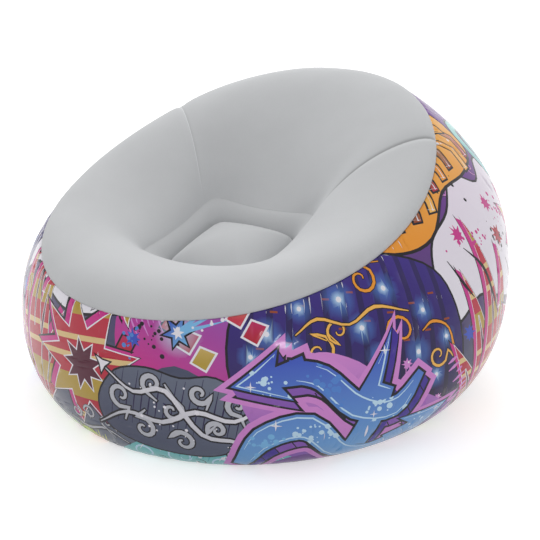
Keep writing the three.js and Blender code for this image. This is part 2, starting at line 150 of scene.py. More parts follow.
def seat_ring(angle, inset, front_inset, drop, corner_lift):
    """A point of a rounded square about the seat's centre, drawn in from the outer weld."""
    half_depth = SEAT_HALF - (inset + front_inset) / 2
    half_width = SEAT_HALF - inset
    sine, cosine = np.abs(np.sin(angle)) / half_width, np.abs(np.cos(angle)) / half_depth
    radius = (sine**SEAT_SQUARE_SHARE + cosine**SEAT_SQUARE_SHARE) ** (-1 / SEAT_SQUARE_SHARE)
    x, y = radius * np.sin(angle), -radius * np.cos(angle)
    back = y + (front_inset - inset) / 2
    corner = (x * y / (half_width * half_depth)) ** 2
    height = SEAT_HEIGHT + SEAT_RISE * back / (2 * SEAT_HALF) + corner_lift * corner - drop
    return np.stack(np.broadcast_arrays(x, PLAN_SHIFT - SEAT_FORWARD + back, height), axis=-1)


OUTER_WELD = (0, 0, 0, SEAT_CORNER_LIFT)
INNER_WELD = (BAND_WIDTH, BAND_FRONT_WIDTH, BAND_DROP, PILLOW_CORNER_LIFT)


def outer_weld(angle):
    return seat_ring(angle, *OUTER_WELD)


def inner_weld(angle):
    return seat_ring(angle, *INNER_WELD)


def top_at(seam_angle, seat_angle, share):
    """Flocked top between the rim seam and the outer seat weld, one cubic curve per section."""
    seam, weld = wall_at(seam_angle, np.ones_like(seam_angle)), outer_weld(seat_angle)
    outwards = unit((seam - weld) * (1, 1, 0))
    rim_rise, bowl_rise = (around(rise, seam_angle)[..., None] for rise in (RIM_RISE, BOWL_RISE))
    rim_lean, bowl_lean = (np.radians(around(lean, seam_angle))[..., None] for lean in (RIM_LEAN, BOWL_LEAN))
    up = np.array((0, 0, 1))
    rim = seam + rim_rise * (up * np.cos(rim_lean) - outwards * np.sin(rim_lean))
    bowl = weld + bowl_rise * (up * np.cos(bowl_lean) + outwards * np.sin(bowl_lean))
    t = share[..., None]
    return seam * (1 - t) ** 3 + rim * 3 * t * (1 - t) ** 2 + bowl * 3 * t * t * (1 - t) + weld * t**3


def seat_at(angle, share):
    """Seat: the band rolls over and down to the inner weld, and the pillow domes up inside it."""
    along = np.clip(share / BAND_SHARE, 0, 1)[..., None]
    outwards = 1 - np.clip((share - BAND_SHARE) / (1 - BAND_SHARE), 0, 1)[..., None]
    outer, inner = outer_weld(angle), inner_weld(angle)
    turn = along * math.pi / 2
    inset = along + BAND_ROUND_SHARE * (np.sin(turn) - along)
    drop = along + BAND_ROUND_SHARE * (1 - np.cos(turn) - along)
    band = outer + (inner - outer) * np.concatenate((inset, inset, drop), -1)
    front, back = inner_weld(np.array(0.0)), inner_weld(np.array(math.pi))
    middle = (front + back) / 2
    half_width, half_depth = SEAT_HALF - BAND_WIDTH, (front[1] - back[1]) / 2
    round_rim = np.stack((half_width * np.sin(angle), half_depth * np.cos(angle), 0 * angle), -1)
    round_rim[..., 2] = round_rim[..., 1] * (front[2] - back[2]) / (front[1] - back[1])
    rim = round_rim + (inner - middle - round_rim) * outwards**PILLOW_CORNER_SHARE
    dome = (1 - outwards**PILLOW_CROWN_SHARE) ** PILLOW_EDGE_SHARE
    pillow = middle + rim * outwards + PILLOW_CROWN * dome * np.array((0, 0, 1))
    return np.where(along < 1, band, pillow)


# How film lies: welds, puckers and a slight unevenness
def ripple(turn, count):
    """Uneven puckers, so many to a turn: round ridges with sharp valleys between them."""
    drift = 0.9 * np.sin(round(0.06 * count) * turn) + 0.7 * np.sin(round(0.13 * count) * turn)
    strength = 0.65 + 0.35 * np.sin(round(0.04 * count) * turn + 1)
    return (np.abs(np.sin(count * turn / 2 + drift)) - PUCKER_MIDDLE) * strength


def pulled_in(points, outwards, distance, turn, weld, ease=1.0):
    """Draws film in along a weld, less and less with the distance from it."""
    valley = weld.depth * np.exp(-((distance / weld.width) ** weld.round))
    valley = valley - weld.bead * np.exp(-((distance / BEAD_HALF_WIDTH) ** 2))
    fade = np.exp(-((distance / weld.reach) ** 1.4))
    pull = ease * (valley - weld.pucker * ripple(turn, weld.count) * fade)
    return points - outwards * pull[..., None]


def settled(points):
    """Unevenness of the blown-up film, the same for every sheet, so that their edges still meet."""
    x, y, z = np.moveaxis(points, -1, 0)
    swell = np.sin(17 * x + 9 * y + 3 * z) + np.sin(11 * y - 23 * z + 1) + np.sin(29 * x + 13 * z + 2)
    swell = swell + 0.5 * np.sin(41 * x - 37 * y + 19 * z)
    amount = bpy.context.scene.chair_film.unevenness * swell / SWELL_LIMIT
    lifted = points + unit(points - np.array(BODY_CENTRE)) * amount[..., None]
    return np.where(z[..., None] < FLAT_FOOT_HEIGHT, points, lifted)


def normal_of(surface, first, second):
    """Normal of a surface that takes two arrays, from small steps along it."""
    low, high = np.maximum(second - NORMAL_STEP, 0), np.minimum(second + NORMAL_STEP, 1)
    a = surface(first + NORMAL_STEP, second) - surface(first - NORMAL_STEP, second)
    b = surface(first, high) - surface(first, low)
    return unit(np.cross(a, b))


def seam_outwards(seam_angle, seat_angle):
    """Outwards at the rim seam, midway between the wall's normal and the top's."""

    def top(angle, share):
        return top_at(angle, seat_angle + angle - seam_angle, share)

    wall_normal = normal_of(wall_at, seam_angle, np.ones_like(seam_angle))
    return unit(wall_normal + normal_of(top, seam_angle, np.zeros_like(seam_angle)))


def seat_outwards(seat_angle, seam_angle):
    """Outwards at the outer seat weld, midway between the seat's normal and the top's."""

    def top(angle, share):
        return top_at(seam_angle + angle - seat_angle, angle, share)

    seat_normal = normal_of(seat_at, seat_angle, np.zeros_like(seat_angle))
    return unit(seat_normal + normal_of(top, seat_angle, np.ones_like(seat_angle)))


def crowded(count, pull):
    """Shares from 0 to 1 that crowd towards both ends."""
    share = np.linspace(0, 1, count + 1)
    return share - pull * np.sin(2 * math.pi * share) / (2 * math.pi)


def run_of(points, axis):
    """Distance along a grid of points from its first row or column."""
    steps = np.linalg.norm(np.diff(points, axis=axis), axis=-1)
    start = np.zeros_like(np.take(steps, [0], axis=axis))
    return np.concatenate((start, np.cumsum(steps, axis=axis)), axis=axis)


# Meshes and pieces
def sheet_mesh(points, closed=False, weld_light_shades=None):
    """A grid of faces laid over an array of points; a closed one has its edges and pole merged."""
    columns, rows = points.shape[0] - 1, points.shape[1] - 1
    mesh = bmesh.new()
    bmesh.ops.create_grid(mesh, x_segments=columns, y_segments=rows, size=0.5)
    # The optional float layer holds the painted highlight and shade beside the back welds.
    weld_light_shade = mesh.verts.layers.float.new("weld_light_shade") if weld_light_shades is not None else None
    for vert in mesh.verts:
        place = round((vert.co.x + 0.5) * columns), round((vert.co.y + 0.5) * rows)
        vert.co = points[place]
        if weld_light_shade:
            vert[weld_light_shade] = weld_light_shades[place]
    if closed:
        bmesh.ops.remove_doubles(mesh, verts=mesh.verts, dist=TINY)
    return mesh


def finished(name, mesh):
    """Mesh data of a bmesh."""
    data = bpy.data.meshes.new(name)
    mesh.to_mesh(data)
    mesh.free()
    return data


def add_piece(name, mesh, material, body, node):
    """Makes a bmesh or mesh data a shaded object that rides on a body and stands for a CAD node."""
    data = finished(name, mesh) if isinstance(mesh, bmesh.types.BMesh) else mesh
    data.shade_smooth()
    data.materials.append(material)
    piece = bpy.data.objects.new(name, data)
    bpy.context.scene.collection.objects.link(piece)
    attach(piece, body)
    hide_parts(node)
    return piece


def thicken(piece, thickness):
    wall = piece.modifiers.new("Film", "SOLIDIFY")
    wall.thickness = thickness
    wall.offset = -1
    wall.use_rim = True


# Materials. Scales of grain and waves are those of Blender's noise, in its cells per metre.
FLOCK_PATCH_SCALE, FLOCK_FIBRE_SCALE = 9, 1100
FLOCK_PATCH_SHARES = (0.975, 1.02)
FLOCK_GRAIN = (0.93, 0.93, 0.93)
PRINT_WAVE_SCALE, PRINT_SKIN_SCALE = 14, 260
PLAIN_CLOUD_SHARE = 0.06
PLAIN_SKIN_TIMES = 20


def new_material(name):
    material = bpy.data.materials.new(name)
    material.use_nodes = True
    nodes = material.node_tree.nodes
    return material, nodes, material.node_tree.links, nodes["Principled BSDF"]


def object_noise(nodes, links, scale, detail):
    place = nodes.new("ShaderNodeTexCoord")
    noise = nodes.new("ShaderNodeTexNoise")
    noise.inputs["Scale"].default_value = scale
    noise.inputs["Detail"].default_value = detail
    links.new(place.outputs["Object"], noise.inputs["Vector"])
    return noise.outputs["Fac"]


def mottled(nodes, links, factor, dark, light, low=0.3, high=0.7):
    ramp = nodes.new("ShaderNodeValToRGB")
    ramp.color_ramp.elements[0].position, ramp.color_ramp.elements[0].color = low, (*dark, 1)
    ramp.color_ramp.elements[1].position, ramp.color_ramp.elements[1].color = high, (*light, 1)
    links.new(factor, ramp.inputs["Fac"])
    return ramp.outputs["Color"]


def add_bump(nodes, links, shader, layers):
    """Stacks bumps, each a height, a strength and a distance."""
    previous = None
    for height, strength, distance in layers:
        bump = nodes.new("ShaderNodeBump")
        bump.inputs["Strength"].default_value = strength
        bump.inputs["Distance"].default_value = distance
        links.new(height, bump.inputs["Height"])
        if previous:
            links.new(previous, bump.inputs["Normal"])
        previous = bump.outputs["Normal"]
    links.new(previous, shader.inputs["Normal"])


def flock_material():
    """Short grey flock: matt, with a soft sheen, fine fibre grain, faint brushed patches, and painted
    highlight and shade beside the back welds.
    """
    if "grey_flock" in bpy.data.materials:
        return bpy.data.materials["grey_flock"]
    look = bpy.context.scene.chair_flock
    material, nodes, links, shader = new_material("grey_flock")
    shader.inputs["Roughness"].default_value = 0.95
    shader.inputs["Specular IOR Level"].default_value = 0.2
    shader.inputs["Sheen Weight"].default_value = look.sheen
    shader.inputs["Sheen Roughness"].default_value = 0.45
    grey = np.array(look.colour)
    patches = object_noise(nodes, links, FLOCK_PATCH_SCALE, 3)
    fibres = object_noise(nodes, links, FLOCK_FIBRE_SCALE, 1)
    ground = mottled(nodes, links, patches, *(grey * share for share in FLOCK_PATCH_SHARES))
    grain = mottled(nodes, links, fibres, FLOCK_GRAIN, (1, 1, 1), 0.25, 0.65)
    mix = nodes.new("ShaderNodeMix")
    mix.data_type, mix.blend_type = "RGBA", "MULTIPLY"
    mix.inputs["Factor"].default_value = 1
    links.new(ground, mix.inputs[6])
    links.new(grain, mix.inputs[7])
    # A float attribute scales the colour by one plus its value: painted highlight and painted shade beside
    # the back welds.
    weld_light_shade = nodes.new("ShaderNodeAttribute")
    weld_light_shade.attribute_name = "weld_light_shade"
    share = nodes.new("ShaderNodeMath")
    share.inputs[1].default_value = 1
    links.new(weld_light_shade.outputs["Fac"], share.inputs[0])
    weld_shaded_colour = nodes.new("ShaderNodeVectorMath")
    weld_shaded_colour.operation = "SCALE"
    links.new(mix.outputs[2], weld_shaded_colour.inputs[0])
    links.new(share.outputs[0], weld_shaded_colour.inputs["Scale"])
    links.new(weld_shaded_colour.outputs[0], shader.inputs["Base Color"])
    add_bump(nodes, links, shader, [(fibres, 0.35, 0.0006), (patches, 0.25, 0.002)])
    return material


def print_material():
    """Printed vinyl film: ink colours from the mesh under a smooth, slightly uneven gloss."""
    look = bpy.context.scene.chair_print
    material, nodes, links, shader = new_material("printed_vinyl")
    ink = nodes.new("ShaderNodeAttribute")
    ink.attribute_name = "ink"
    links.new(ink.outputs["Color"], shader.inputs["Base Color"])
    shader.inputs["Roughness"].default_value = look.roughness
    shader.inputs["Specular IOR Level"].default_value = 0.12
    shader.inputs["Coat Weight"].default_value = look.coat
    shader.inputs["Coat Roughness"].default_value = 0.08
    shader.inputs["Coat IOR"].default_value = 1.4
    waves = object_noise(nodes, links, PRINT_WAVE_SCALE, 2)
    skin = object_noise(nodes, links, PRINT_SKIN_SCALE, 1)
    add_bump(nodes, links, shader, [(waves, 0.3, 0.006), (skin, 0.08, 0.0008)])
    return material


def plain_material(name, colour, roughness, cloud_scale):
    """Unprinted film, plastic or rubber: one colour with a faint cloud in it."""
    material, nodes, links, shader = new_material(name)
    cloud = object_noise(nodes, links, cloud_scale, 3)
    colour = np.array(colour)
    tint = mottled(nodes, links, cloud, colour * (1 - PLAIN_CLOUD_SHARE), colour)
    links.new(tint, shader.inputs["Base Color"])
    shader.inputs["Roughness"].default_value = roughness
    skin = object_noise(nodes, links, cloud_scale * PLAIN_SKIN_TIMES, 1)
    add_bump(nodes, links, shader, [(skin, 0.15, 0.0004)])
    return material


# Sizes and looks that a user would change
class FilmSizes(PropertyGroup):
    thickness: FloatProperty(
        name="Film thickness", description="Thickness that the shown sheets have", unit="LENGTH",
        default=0.001,
    )
    unevenness: FloatProperty(
        name="Unevenness", description="How far the blown-up film swells and sinks", unit="LENGTH",
        default=0.0012,
    )


class FlockLook(PropertyGroup):
    colour: FloatVectorProperty(
        name="Flock colour", description="Grey of the flocked film", subtype="COLOR",
        default=(0.59, 0.60, 0.613),
    )
    sheen: FloatProperty(
        name="Sheen", description="Soft light edge of the fibres", default=0.2, min=0, max=1,
    )


class PrintLook(PropertyGroup):
    repeats: IntProperty(
        name="Repeats", description="How often the design goes round the wall", default=3, min=1,
    )
    roughness: FloatProperty(
        name="Roughness", description="Roughness of the ink layer", default=0.25, min=0, max=1,
    )
    coat: FloatProperty(
        name="Gloss", description="Weight of the clear film over the ink", default=0.36, min=0, max=1,
    )


class StageLook(PropertyGroup):
    front_light: FloatProperty(
        name="Front light", description="Strength of the world in front", default=0.38, min=0,
    )
    back_light: FloatProperty(
        name="Back light", description="Strength of the world behind", default=1.40, min=0,
    )
    key_power: FloatProperty(
        name="Key lamp", description="Power of the main lamp", default=25, subtype="POWER",
    )
    fill_power: FloatProperty(
        name="Fill lamp", description="Power of the second lamp", default=6, subtype="POWER",
    )


# Camera and light
CAMERA_AZIMUTH = math.radians(32.538)
CAMERA_ELEVATION = math.radians(19.538)
CAMERA_DISTANCE = 2.4986
CAMERA_LENS_MM = 71.06
CAMERA_SENSOR_MM = 36.0
AIM_HEIGHT = 0.2352
AIM_SIDEWAYS = 0.01573
FLOOR_HALF = 40.0
FLOOR_GREY = (0.74, 0.74, 0.74)
FLOOR_GLOW = 0.56
WORLD_BACK = -140
KEY_AIM = (-150, 40, 3.0)
FILL_AIM = (44, 8, 3.0)
KEY_SIZE, FILL_SIZE = 2.2, 0.30
LAMP_TARGET = Vector((0, 0, 0.3))


def direction(azimuth, elevation):
    """Direction from the chair, with azimuth 0 at the front and a quarter turn at +X."""
    flat = math.cos(elevation)
    return Vector((math.sin(azimuth) * flat, -math.cos(azimuth) * flat, math.sin(elevation)))


def add_camera():
    back = direction(CAMERA_AZIMUTH, CAMERA_ELEVATION)
    right = Vector((math.cos(CAMERA_AZIMUTH), math.sin(CAMERA_AZIMUTH), 0))
    aim = right * AIM_SIDEWAYS + Vector((0, PLAN_SHIFT, AIM_HEIGHT))
    data = bpy.data.cameras.new("camera")
    data.lens, data.sensor_width = CAMERA_LENS_MM, CAMERA_SENSOR_MM
    camera = bpy.data.objects.new("camera", data)
    camera.location = aim + back * CAMERA_DISTANCE
    camera.rotation_euler = back.to_track_quat("Z", "Y").to_euler()
    bpy.context.scene.collection.objects.link(camera)
    bpy.context.scene.camera = camera


def add_lamp(name, aim, size, power):
    """A round soft lamp that no view shows, placed by its azimuth, elevation and distance."""
    azimuth, elevation, distance = aim
    back = direction(math.radians(azimuth), math.radians(elevation))
    data = bpy.data.lights.new(name, "AREA")
    data.shape, data.size, data.energy = "DISK", size, power
    lamp = bpy.data.objects.new(name, data)
    lamp.location = LAMP_TARGET + back * distance
    lamp.rotation_euler = back.to_track_quat("Z", "Y").to_euler()
    lamp.visible_camera = False
    bpy.context.scene.collection.objects.link(lamp)


def straight_rays(nodes, links):
    """1 for camera, glossy and transmission rays, 0 for diffuse ones."""
    path = nodes.new("ShaderNodeLightPath")
    total = path.outputs["Is Camera Ray"]
    for name in ("Is Glossy Ray", "Is Transmission Ray"):
        larger = nodes.new("ShaderNodeMath")
        larger.operation = "MAXIMUM"
        links.new(total, larger.inputs[0])
        links.new(path.outputs[name], larger.inputs[1])
        total = larger.outputs[0]
    return total


def light_world(front, back):
    """A white studio whose lit back wall makes the light stronger from one side."""
    world = bpy.data.worlds.new("white_studio")
    bpy.context.scene.world = world
    world.use_nodes = True
    nodes, links = world.node_tree.nodes, world.node_tree.links
    place = nodes.new("ShaderNodeTexCoord")
    facing = nodes.new("ShaderNodeVectorMath")
    facing.operation = "DOT_PRODUCT"
    facing.inputs[1].default_value = direction(math.radians(WORLD_BACK), 0)
    level = nodes.new("ShaderNodeMapRange")
    level.inputs["From Min"].default_value, level.inputs["From Max"].default_value = -1, 1
    level.inputs["To Min"].default_value, level.inputs["To Max"].default_value = front, back
    links.new(place.outputs["Generated"], facing.inputs[0])
    links.new(facing.outputs["Value"], level.inputs["Value"])
    links.new(level.outputs["Result"], nodes["Background"].inputs["Strength"])
    white = nodes.new("ShaderNodeBackground")
    white.inputs["Color"].default_value = (1, 1, 1, 1)
    nodes["Background"].inputs["Color"].default_value = (1, 1, 1, 1)
    mix = nodes.new("ShaderNodeMixShader")
    links.new(straight_rays(nodes, links), mix.inputs["Fac"])
    links.new(nodes["Background"].outputs[0], mix.inputs[1])
    links.new(white.outputs[0], mix.inputs[2])
    links.new(mix.outputs[0], nodes["World Output"].inputs["Surface"])


def add_floor():
    mesh = bmesh.new()
    bmesh.ops.create_grid(mesh, x_segments=1, y_segments=1, size=FLOOR_HALF)
    material, nodes, links, shader = new_material("white_floor")
    shader.inputs["Base Color"].default_value = (*FLOOR_GREY, 1)
    shader.inputs["Roughness"].default_value = 1
    shader.inputs["Specular IOR Level"].default_value = 0
    glow = nodes.new("ShaderNodeEmission")
    glow.inputs["Strength"].default_value = FLOOR_GLOW
    seen = nodes.new("ShaderNodeMixShader")
    both = nodes.new("ShaderNodeAddShader")
    links.new(shader.outputs[0], both.inputs[0])
    links.new(glow.outputs[0], both.inputs[1])
    links.new(straight_rays(nodes, links), seen.inputs["Fac"])
    links.new(shader.outputs[0], seen.inputs[1])
    links.new(both.outputs[0], seen.inputs[2])
    links.new(seen.outputs[0], nodes["Material Output"].inputs["Surface"])
    data = finished("floor", mesh)
    data.materials.append(material)
    floor = bpy.data.objects.new("floor", data)
    bpy.context.scene.collection.objects.link(floor)


class ARMCHAIR_OT_stage(Operator):
    """Add the camera, the light and a white floor"""

    bl_idname = "armchair.stage"
    bl_label = "Stage"

    def execute(self, context):
        look = context.scene.chair_stage
        context.scene.view_settings.view_transform = "Standard"
        add_camera()
        light_world(look.front_light, look.back_light)
        add_lamp("key_lamp", KEY_AIM, KEY_SIZE, look.key_power)
        add_lamp("fill_lamp", FILL_AIM, FILL_SIZE, look.fill_power)
        add_floor()
        return {"FINISHED"}


# Flocked film
ARM_GRID, REST_GRID = (460, 90), (260, 110)
COLUMN_CROWDING, ROW_CROWDING = 0.85, 0.75
SEAT_COLUMNS, BAND_ROWS, PILLOW_ROWS = 320, 22, 48
BAND_CROWDING = 0.7
PILLOW_ROW_POWER = 1.5


def top_points(half_seam, half_seat, start, grid, weld, edge_light_shades):
    """Places of a flocked top panel from back weld to back weld, and its painted highlight and shade beside
    those welds.
    """
    across = crowded(grid[0], COLUMN_CROWDING)[:, None]
    shares = crowded(grid[1], ROW_CROWDING)[None, :]
    seam_angle = start + (2 * across - 1) * half_seam + 0 * shares
    seat_angle = start + (2 * across - 1) * half_seat + 0 * shares
    flat = top_at(seam_angle, seat_angle, shares + 0 * across)
    down, sideways = run_of(flat, 1), run_of(flat, 0)
    points = pulled_in(flat, seam_outwards(seam_angle, seat_angle), down, seam_angle, RIM_WELD)
    to_seat = down[:, -1:] - down
    points = pulled_in(points, seat_outwards(seat_angle, seam_angle), to_seat, seat_angle, SEAT_WELD)
    rim_ease = 1 - np.exp(-((down / WELD_RIM_FADE) ** 2))
    ease = rim_ease * (1 - np.exp(-((to_seat / WELD_SEAT_FADE) ** 2)))
    weld_light_shades = 0 * ease
    distances = sideways, sideways[-1:] - sideways
    for edge, distance, (edge_light_shade, light_shade_width) in zip((0, -1), distances, edge_light_shades):
        first, second = seam_angle[[edge]], seat_angle[[edge]]
        outwards = normal_of(lambda a, t: top_at(a, second + a - first, t), first, shares)
        turn = down[[edge]] / down[edge, -1] * 2 * math.pi
        points = pulled_in(points, outwards, distance, turn, weld, ease)
        # Painted highlight and painted shade beside this back weld, as a share of the flock colour.
        weld_light_shades = weld_light_shades + edge_light_shade * ease * np.exp(-((distance / light_shade_width) ** 2))
    return settled(points), weld_light_shades


def add_flocked_panel(name, node, *sizes):
    points, weld_light_shades = top_points(*sizes)
    mesh = sheet_mesh(points, weld_light_shades=weld_light_shades)
    piece = add_piece(name, mesh, flock_material(), "chair", node)
    thicken(piece, bpy.context.scene.chair_film.thickness)


class ARMCHAIR_OT_arms(Operator):
    """Add the flocked sheet of both arms and the front"""

    bl_idname = "armchair.arms"
    bl_label = "Arms and front"

    def execute(self, context):
        add_flocked_panel(
            "arm_film", "arm_and_front_panel", math.pi - BACK_SEAM, math.pi - BACK_SEAT, 0, ARM_GRID,
            BACK_WELD, ARM_WELD_HIGHLIGHT_AND_SHADE,
        )
        return {"FINISHED"}


class ARMCHAIR_OT_back_rest(Operator):
    """Add the flocked sheet of the back rest"""

    bl_idname = "armchair.back_rest"
    bl_label = "Back rest"

    def execute(self, context):
        add_flocked_panel(
            "back_rest_film", "back_rest_panel", BACK_SEAM, BACK_SEAT, math.pi, REST_GRID,
            REST_BACK_WELD, REST_WELD_SHADE,
        )
        return {"FINISHED"}


class ARMCHAIR_OT_seat(Operator):
    """Add the flocked seat with its band, crease and pillow"""

    bl_idname = "armchair.seat"
    bl_label = "Seat"

    def execute(self, context):
        angle = np.linspace(-math.pi, math.pi, SEAT_COLUMNS + 1)[:, None]
        band = crowded(BAND_ROWS, BAND_CROWDING) * BAND_SHARE
        inwards = np.linspace(0, 1, PILLOW_ROWS + 1)[1:] ** PILLOW_ROW_POWER
        pillow = BAND_SHARE + (1 - BAND_SHARE) * inwards
        shares = np.concatenate((band, pillow))[None, :]
        angle, shares = np.broadcast_arrays(angle, shares)
        flat = seat_at(angle, shares)
        seam_angle = angle * (math.pi - BACK_SEAM) / (math.pi - BACK_SEAT)
        down = run_of(flat, 1)
        points = pulled_in(flat, seat_outwards(angle, seam_angle), down, angle, SEAT_WELD)
        crease = np.abs(down - down[:, [len(band) - 1]])
        up = np.broadcast_to(np.array((0, 0, 1.0)), points.shape)
        points = settled(pulled_in(points, up, crease, angle, CREASE))
        mesh = sheet_mesh(points, closed=True)
        piece = add_piece("seat_film", mesh, flock_material(), "chair", "seat_panel")
        thicken(piece, context.scene.chair_film.thickness)
        return {"FINISHED"}


# The print. Outlines are in metres on the unrolled wall: x runs round the chair, y up from the floor.
PRINT_RADIUS = 0.55
PRINT_START = math.radians(-112)
INKS = {
    "crimson": "B4263A", "rose": "C93A50", "cream": "E0C28A", "ochre": "B79A40", "magenta": "CB338C",
    "lilac": "D48AD2", "violet": "8A5AB4", "deep blue": "3D55BE", "blue": "5486D2", "sky": "7FBBE8",
    "ice": "C4E2F6", "indigo": "473398", "purple": "6C338E", "teal": "55ADB6", "mint": "9ADBD8",
    "slate": "6B7284", "storm": "4B5068", "navy": "2A2248", "orange": "EE9A34", "amber": "F4B95C",
    "rust": "9A4A2C", "black": "1D1A22", "white": "EAE7EF", "lime": "CBD54E", "green": "68BE4E",
    "silver": "BEBFC8", "maroon": "571B33",
}
Layer = namedtuple("Layer", "outline within inks axis cover cut")

# Widths of edges and lines, and the proportions of the forms that the print repeats.
FINE_EDGE, THIN_EDGE, BOLD_EDGE = 0.003, 0.004, 0.005
HALO_WIDTH = 0.012
MITRE_LEAST_SHARE = 0.5
BLOCK_LINE_WIDTH = 0.0025
BLOCK_STEEP_SHARE = 0.6
BUBBLE_LEAST_RADIUS = 0.0012
BUBBLE_SPREAD = 0.45
BUBBLE_SIDES_PER_METRE = 600
SPLAT_PEAK_SHARES, SPLAT_NOTCH_SHARES = (1.0, 1.5), (0.6, 0.8)
SPLAT_SWING_SHARE = 0.25
SPIKE_BELLY_SHARE = 0.34
ARROW_HEAD_SHARE = 0.62
ARROW_BARB_SHARE = 0.9
HEART_SHARE = 0.38
GILT = (
    (0.060, 0.074, "cream"), (0.110, 0.162, "ochre"), (0.196, 0.208, "cream"), (0.236, 0.248, "cream"),
    (0.290, 0.330, "ochre"), (0.362, 0.374, "cream"), (0.405, 0.417, "cream"), (0.460, 0.490, "ochre"),
)
GILT_SLOPE = 0.12


def linear_ink(name):
    """An ink's linear colour from its display value."""
    code = INKS[name]
    shown = np.array([int(code[i : i + 2], 16) for i in (0, 2, 4)]) / 255
    return np.where(shown <= 0.04045, shown / 12.92, ((shown + 0.055) / 1.055) ** 2.4)


def smooth(points, steps=5, closed=True):
    """A smooth line through given points."""
    p = np.array(points, float)
    if closed:
        p = np.concatenate((p[-1:], p, p[:2]))
    else:
        p = np.concatenate((2 * p[:1] - p[1:2], p, 2 * p[-1:] - p[-2:-1]))
    t = (np.arange(steps) / steps)[:, None]
    runs = [
        ((2 * b) + (c - a) * t + (2 * a - 5 * b + 4 * c - d) * t**2 + (3 * b - a - 3 * c + d) * t**3) / 2
        for a, b, c, d in zip(p, p[1:], p[2:], p[3:])
    ]
    line = np.concatenate(runs)
    return line if closed else np.concatenate((line, p[-2:-1]))


def side_steps(line, closed):
    """Steps to the right of a line at each of its points, longer at corners so that a width holds."""
    if closed:
        before, after = line - np.roll(line, 1, 0), np.roll(line, -1, 0) - line
    else:
        step = np.diff(line, axis=0)
        before, after = np.concatenate((step[:1], step)), np.concatenate((step, step[-1:]))
    first, second = (unit(side)[:, ::-1] * (1, -1) for side in (before, after))
    middle = unit(first + second)
    return middle / np.maximum((middle * first).sum(1, keepdims=True), MITRE_LEAST_SHARE)


def ribbon(points, widths, steps):
    """A brush stroke along a smooth line, with widths spread evenly along it."""
    line = smooth(points, steps, closed=False)
    share = np.linspace(0, 1, len(line))
    half = np.interp(share, np.linspace(0, 1, len(widths)), widths)[:, None] / 2
    side = side_steps(line, False)
    return np.concatenate((line + side * half, (line - side * half)[::-1]))


def swollen(outline, by):
    """An outline grown by a distance, or shrunk by a negative one."""
    x, y = outline.T
    if (x * np.roll(y, -1) - y * np.roll(x, -1)).sum() < 0:
        outline = outline[::-1]
    return outline + side_steps(outline, True) * by


def box(left, low, right, high, lean=0.0):
    """Corners of an upright box, or of one that leans to the right as it rises."""
    return [(left, low), (right, low), (right + lean, high), (left + lean, high)]


def disc(x, y, radius, count):
    turn = np.arange(count) * 2 * math.pi / count
    return np.stack((x + radius * np.cos(turn), y + radius * np.sin(turn)), -1)


def star(x, y, outer, inner, count, turn=0.0):
    """A star of pointed rays."""
    angle = np.arange(2 * count) * math.pi / count + math.radians(turn)
    reach = np.where(np.arange(2 * count) % 2 == 0, outer, inner)
    return np.stack((x + reach * np.sin(angle), y + reach * np.cos(angle)), -1)


def arrow(tail, tip, width, head):
    """A straight arrow with swept barbs."""
    tail, tip = np.array(tail), np.array(tip)
    along = tip - tail
    side = unit(along)[::-1] * (1, -1)
    neck, barbs = (tail + along * (share - ARROW_HEAD_SHARE) for share in (1, ARROW_BARB_SHARE))
    half_neck, half_tail = side * width * 0.5, side * width * 0.7
    return np.array([
        tail + half_tail, neck + half_neck, barbs + side * head, tip, barbs - side * head, neck - half_neck,
        tail - half_tail,
    ])


def spike(root, tip, width):
    """A long four-cornered spike."""
    root, tip = np.array(root), np.array(tip)
    side = unit(tip - root)[::-1] * (1, -1) * width
    belly = root + (tip - root) * SPIKE_BELLY_SHARE
    return np.array([root, belly - side, tip, belly + side])


def splat(x, y, radius, rays, seed):
    """A burst blot with uneven rounded rays."""
    rng = np.random.default_rng(seed)
    swing = rng.uniform(-SPLAT_SWING_SHARE, SPLAT_SWING_SHARE, 2 * rays)
    angle = (np.arange(2 * rays) + swing) * math.pi / rays
    peaks, notches = (rng.uniform(*shares, 2 * rays) for shares in (SPLAT_PEAK_SHARES, SPLAT_NOTCH_SHARES))
    reach = np.where(np.arange(2 * rays) % 2 == 0, peaks, notches)
    return smooth(np.stack((x + radius * reach * np.cos(angle), y + radius * reach * np.sin(angle)), -1), 4)


def spiral(x, y, start, end, turns, turn, count=9):
    """Points of a spiral from one radius to another."""
    share = np.linspace(0, 1, int(count * turns) + 1)
    angle = math.radians(turn) + share * turns * 2 * math.pi
    reach = start + (end - start) * share
    return np.stack((x + reach * np.cos(angle), y + reach * np.sin(angle)), -1)


